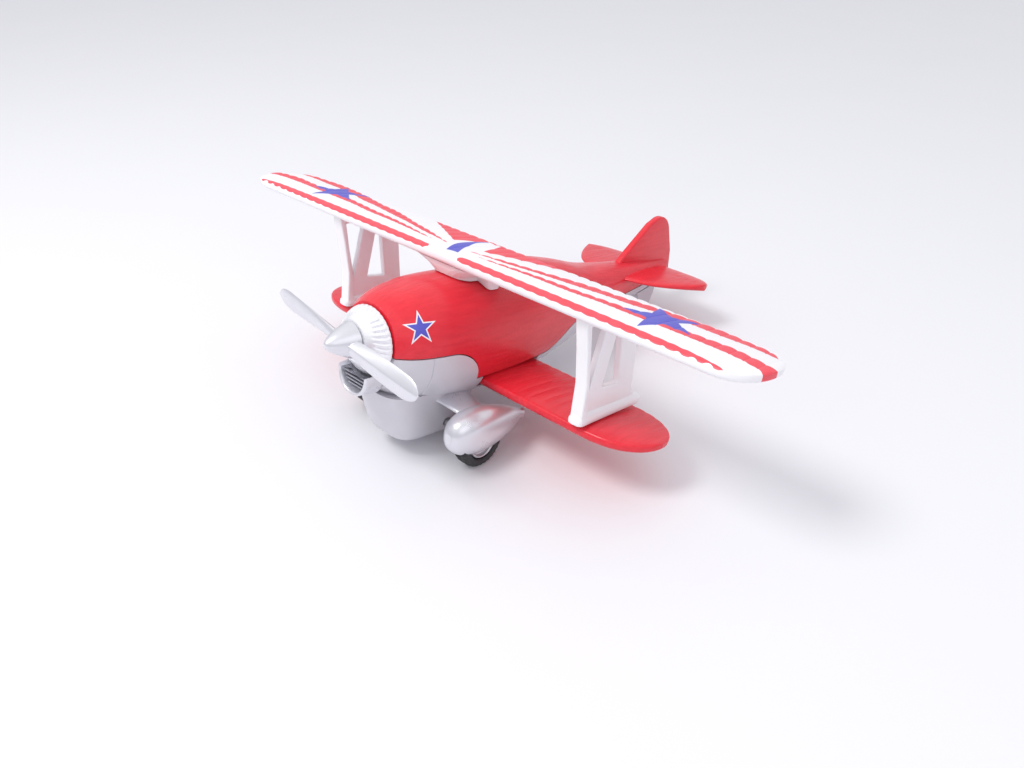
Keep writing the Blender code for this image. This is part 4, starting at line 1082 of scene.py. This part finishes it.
def make_fin(materials):
    outline = [(53.0, -14.6), (54.5, -11.8), (67.2, -1.8)]
    outline += arc(centre=(72.2, -5.6), radius=5.5, start=122, end=22, steps=14)
    outline += [(80.6, -11.0), (81.8, -18.0), (77.7, -18.4), (77.7, -14.6)]
    fin = new_object("red_fin", outline_bm(outline, thickness=2.2, holes=(), bevel=0.6, bevel_steps=4))
    piece(fin, materials["enamel"], ["fin"])


# Scene

def make_camera():
    focal_pixels, picture_width = 835.5, 1024
    heading_x, heading_y = -0.6958, 0.7182
    down = math.radians(32.676)
    roll = math.radians(-0.4625)
    data = bpy.data.cameras.new("camera")
    data.sensor_width = 36.0
    data.lens = data.sensor_width * focal_pixels / picture_width
    data.clip_start = 0.001
    camera = bpy.data.objects.new("camera", data)
    bpy.context.scene.collection.objects.link(camera)
    look = Vector((heading_x * math.cos(down), heading_y * math.cos(down), -math.sin(down)))
    turn = look.to_track_quat('-Z', 'Y').to_matrix().to_4x4() @ Matrix.Rotation(roll, 4, 'Z')
    place = STANCE.translation + Vector((0.1381, -0.1379, 0.0832))
    camera.matrix_world = Matrix.Translation(place) @ turn
    bpy.context.scene.camera = camera


def make_floor():
    half_size_mm = 30000.0
    bm = bmesh.new()
    bmesh.ops.create_grid(bm, x_segments=2, y_segments=2, size=half_size_mm)
    floor = new_object("floor", bm, Matrix.Identity(4))
    material = varied_material("pale_floor", (0.80, 0.80, 0.83), (0.78, 0.78, 0.815), 60.0, 0.6)
    floor.data.materials.append(material)


def add_area(name, place, aim, size, power, colour):
    """A round area light at place that shines towards aim."""
    data = bpy.data.lights.new(name, 'AREA')
    data.shape = 'DISK'
    data.size = size
    data.energy = power
    data.color = colour
    light = bpy.data.objects.new(name, data)
    bpy.context.scene.collection.objects.link(light)
    direction = Vector(aim) - Vector(place)
    light.matrix_world = Matrix.Translation(place) @ direction.to_track_quat('-Z', 'Y').to_matrix().to_4x4()


def make_lights():
    """A pale studio round the toy, lighter overhead, with a key and a fill light."""
    world = bpy.data.worlds.new("studio")
    world.use_nodes = True
    tree = world.node_tree
    background = tree.nodes["Background"]
    coordinates = tree.nodes.new("ShaderNodeTexCoord")
    split = tree.nodes.new("ShaderNodeSeparateXYZ")
    ramp = tree.nodes.new("ShaderNodeValToRGB")
    tree.links.new(coordinates.outputs["Generated"], split.inputs[0])
    tree.links.new(split.outputs[2], ramp.inputs[0])
    tree.links.new(ramp.outputs[0], background.inputs["Color"])
    low_stop, high_stop = ramp.color_ramp.elements
    low_stop.position = 0.02
    low_stop.color = (0.50, 0.50, 0.55, 1.0)
    high_stop.position = 0.55
    high_stop.color = (0.97, 0.97, 1.0, 1.0)
    background.inputs["Strength"].default_value = 0.94
    bpy.context.scene.world = world
    add_area("key", place=(-0.12, -0.34, 0.56), aim=(0, 0, 0.03), size=0.22, power=1.9,
             colour=(1.0, 0.99, 0.98))
    add_area("fill", place=(0.5, -0.2, 0.35), aim=(0, 0, 0.02), size=0.5, power=0.3,
             colour=(0.95, 0.95, 1.0))
    bpy.context.scene.view_settings.view_transform = 'Standard'


def dress_cad_nodes(materials):
    """Better materials on the CAD nodes whose shapes stay."""
    table = {
        "pull_back_motor": "black",
        "propeller_shaft": "steel",
        "centre_pylon": "white",
        "main_axle": "steel",
        "tail_wheel_fork": "grey",
        "tail_wheel_pin": "steel",
        "windscreen": "smoke",
    }
    for name, material in table.items():
        node = frame["nodes"][name]
        node.data.materials.clear()
        node.data.materials.append(materials[material])


def smoke_material():
    """Smoked clear plastic."""
    material = varied_material("smoked_clear", (0.20, 0.23, 0.27), (0.17, 0.20, 0.24), 3.0, 0.12)
    shader = material.node_tree.nodes["Principled BSDF"]
    shader.inputs["Transmission Weight"].default_value = 0.6
    shader.inputs["Alpha"].default_value = 0.75
    return material


def make_materials():
    return {
        "enamel": red_enamel_material("red_enamel", False),
        "enamel_star": red_enamel_material("red_enamel_with_star", True),
        "printed": wing_print_material(),
        "white": varied_material("white_moulding", WHITE, WHITE_SHADE, 7.0, 0.36, bump_mm=0.02,
                                 bump_scale_mm=0.6),
        "silver": silver_material("silver_moulding", (0.80, 0.80, 0.84), (0.68, 0.68, 0.73), 0.70, 0.30),
        "bright_silver": silver_material("bright_silver", (0.95, 0.95, 0.98), (0.86, 0.86, 0.90), 0.50, 0.28),
        "grey": silver_material("grey_moulding", (0.66, 0.65, 0.69), (0.59, 0.58, 0.63), 0.20, 0.42),
        "dark_silver": silver_material("dark_silver_moulding", (0.42, 0.42, 0.47), (0.34, 0.34, 0.39), 0.45,
                                       0.4),
        "steel": silver_material("drawn_steel", (0.62, 0.62, 0.63), (0.55, 0.55, 0.56), 1.0, 0.28),
        "rubber": varied_material("black_tyre", (0.028, 0.028, 0.030), (0.040, 0.040, 0.042), 1.5, 0.62,
                                  bump_mm=0.03, bump_scale_mm=0.4),
        "black": varied_material("black_case", (0.035, 0.035, 0.038), (0.05, 0.05, 0.054), 3.0, 0.5,
                                 bump_mm=0.02, bump_scale_mm=0.4),
        "smoke": smoke_material(),
    }


def build():
    materials = make_materials()
    dress_cad_nodes(materials)
    upper_form = ribbed_wing(half_span=82.6, tip_length=9.5, leading_y=-20.2, chord=20.2, top_z=0.6,
                             thickness=2.9, depth=UPPER_RIB_DEPTH)
    upper = new_object("printed_upper_wing", upper_form)
    piece(upper, materials["printed"], ["upper_wing"])
    lower_form = ribbed_wing(half_span=58.5, tip_length=16.0, leading_y=-13.2, chord=21.8, top_z=-28.5,
                             thickness=3.0, depth=LOWER_RIB_DEPTH)
    lower = new_object("red_lower_wing", lower_form)
    piece(lower, materials["enamel"], ["lower_wing"])
    make_body(materials)
    make_base(materials)
    make_screws(materials)
    make_cone(materials)
    make_intake(materials)
    make_propeller(materials)
    for side in (1, -1):
        make_main_wheel(side, materials)
    make_tail_wheel(materials)
    for side in (1, -1):
        make_strut(side, materials)
        make_gear(side, materials)
    make_tailplane(materials)
    make_fin(materials)
    make_floor()
    make_lights()
    make_camera()


build()
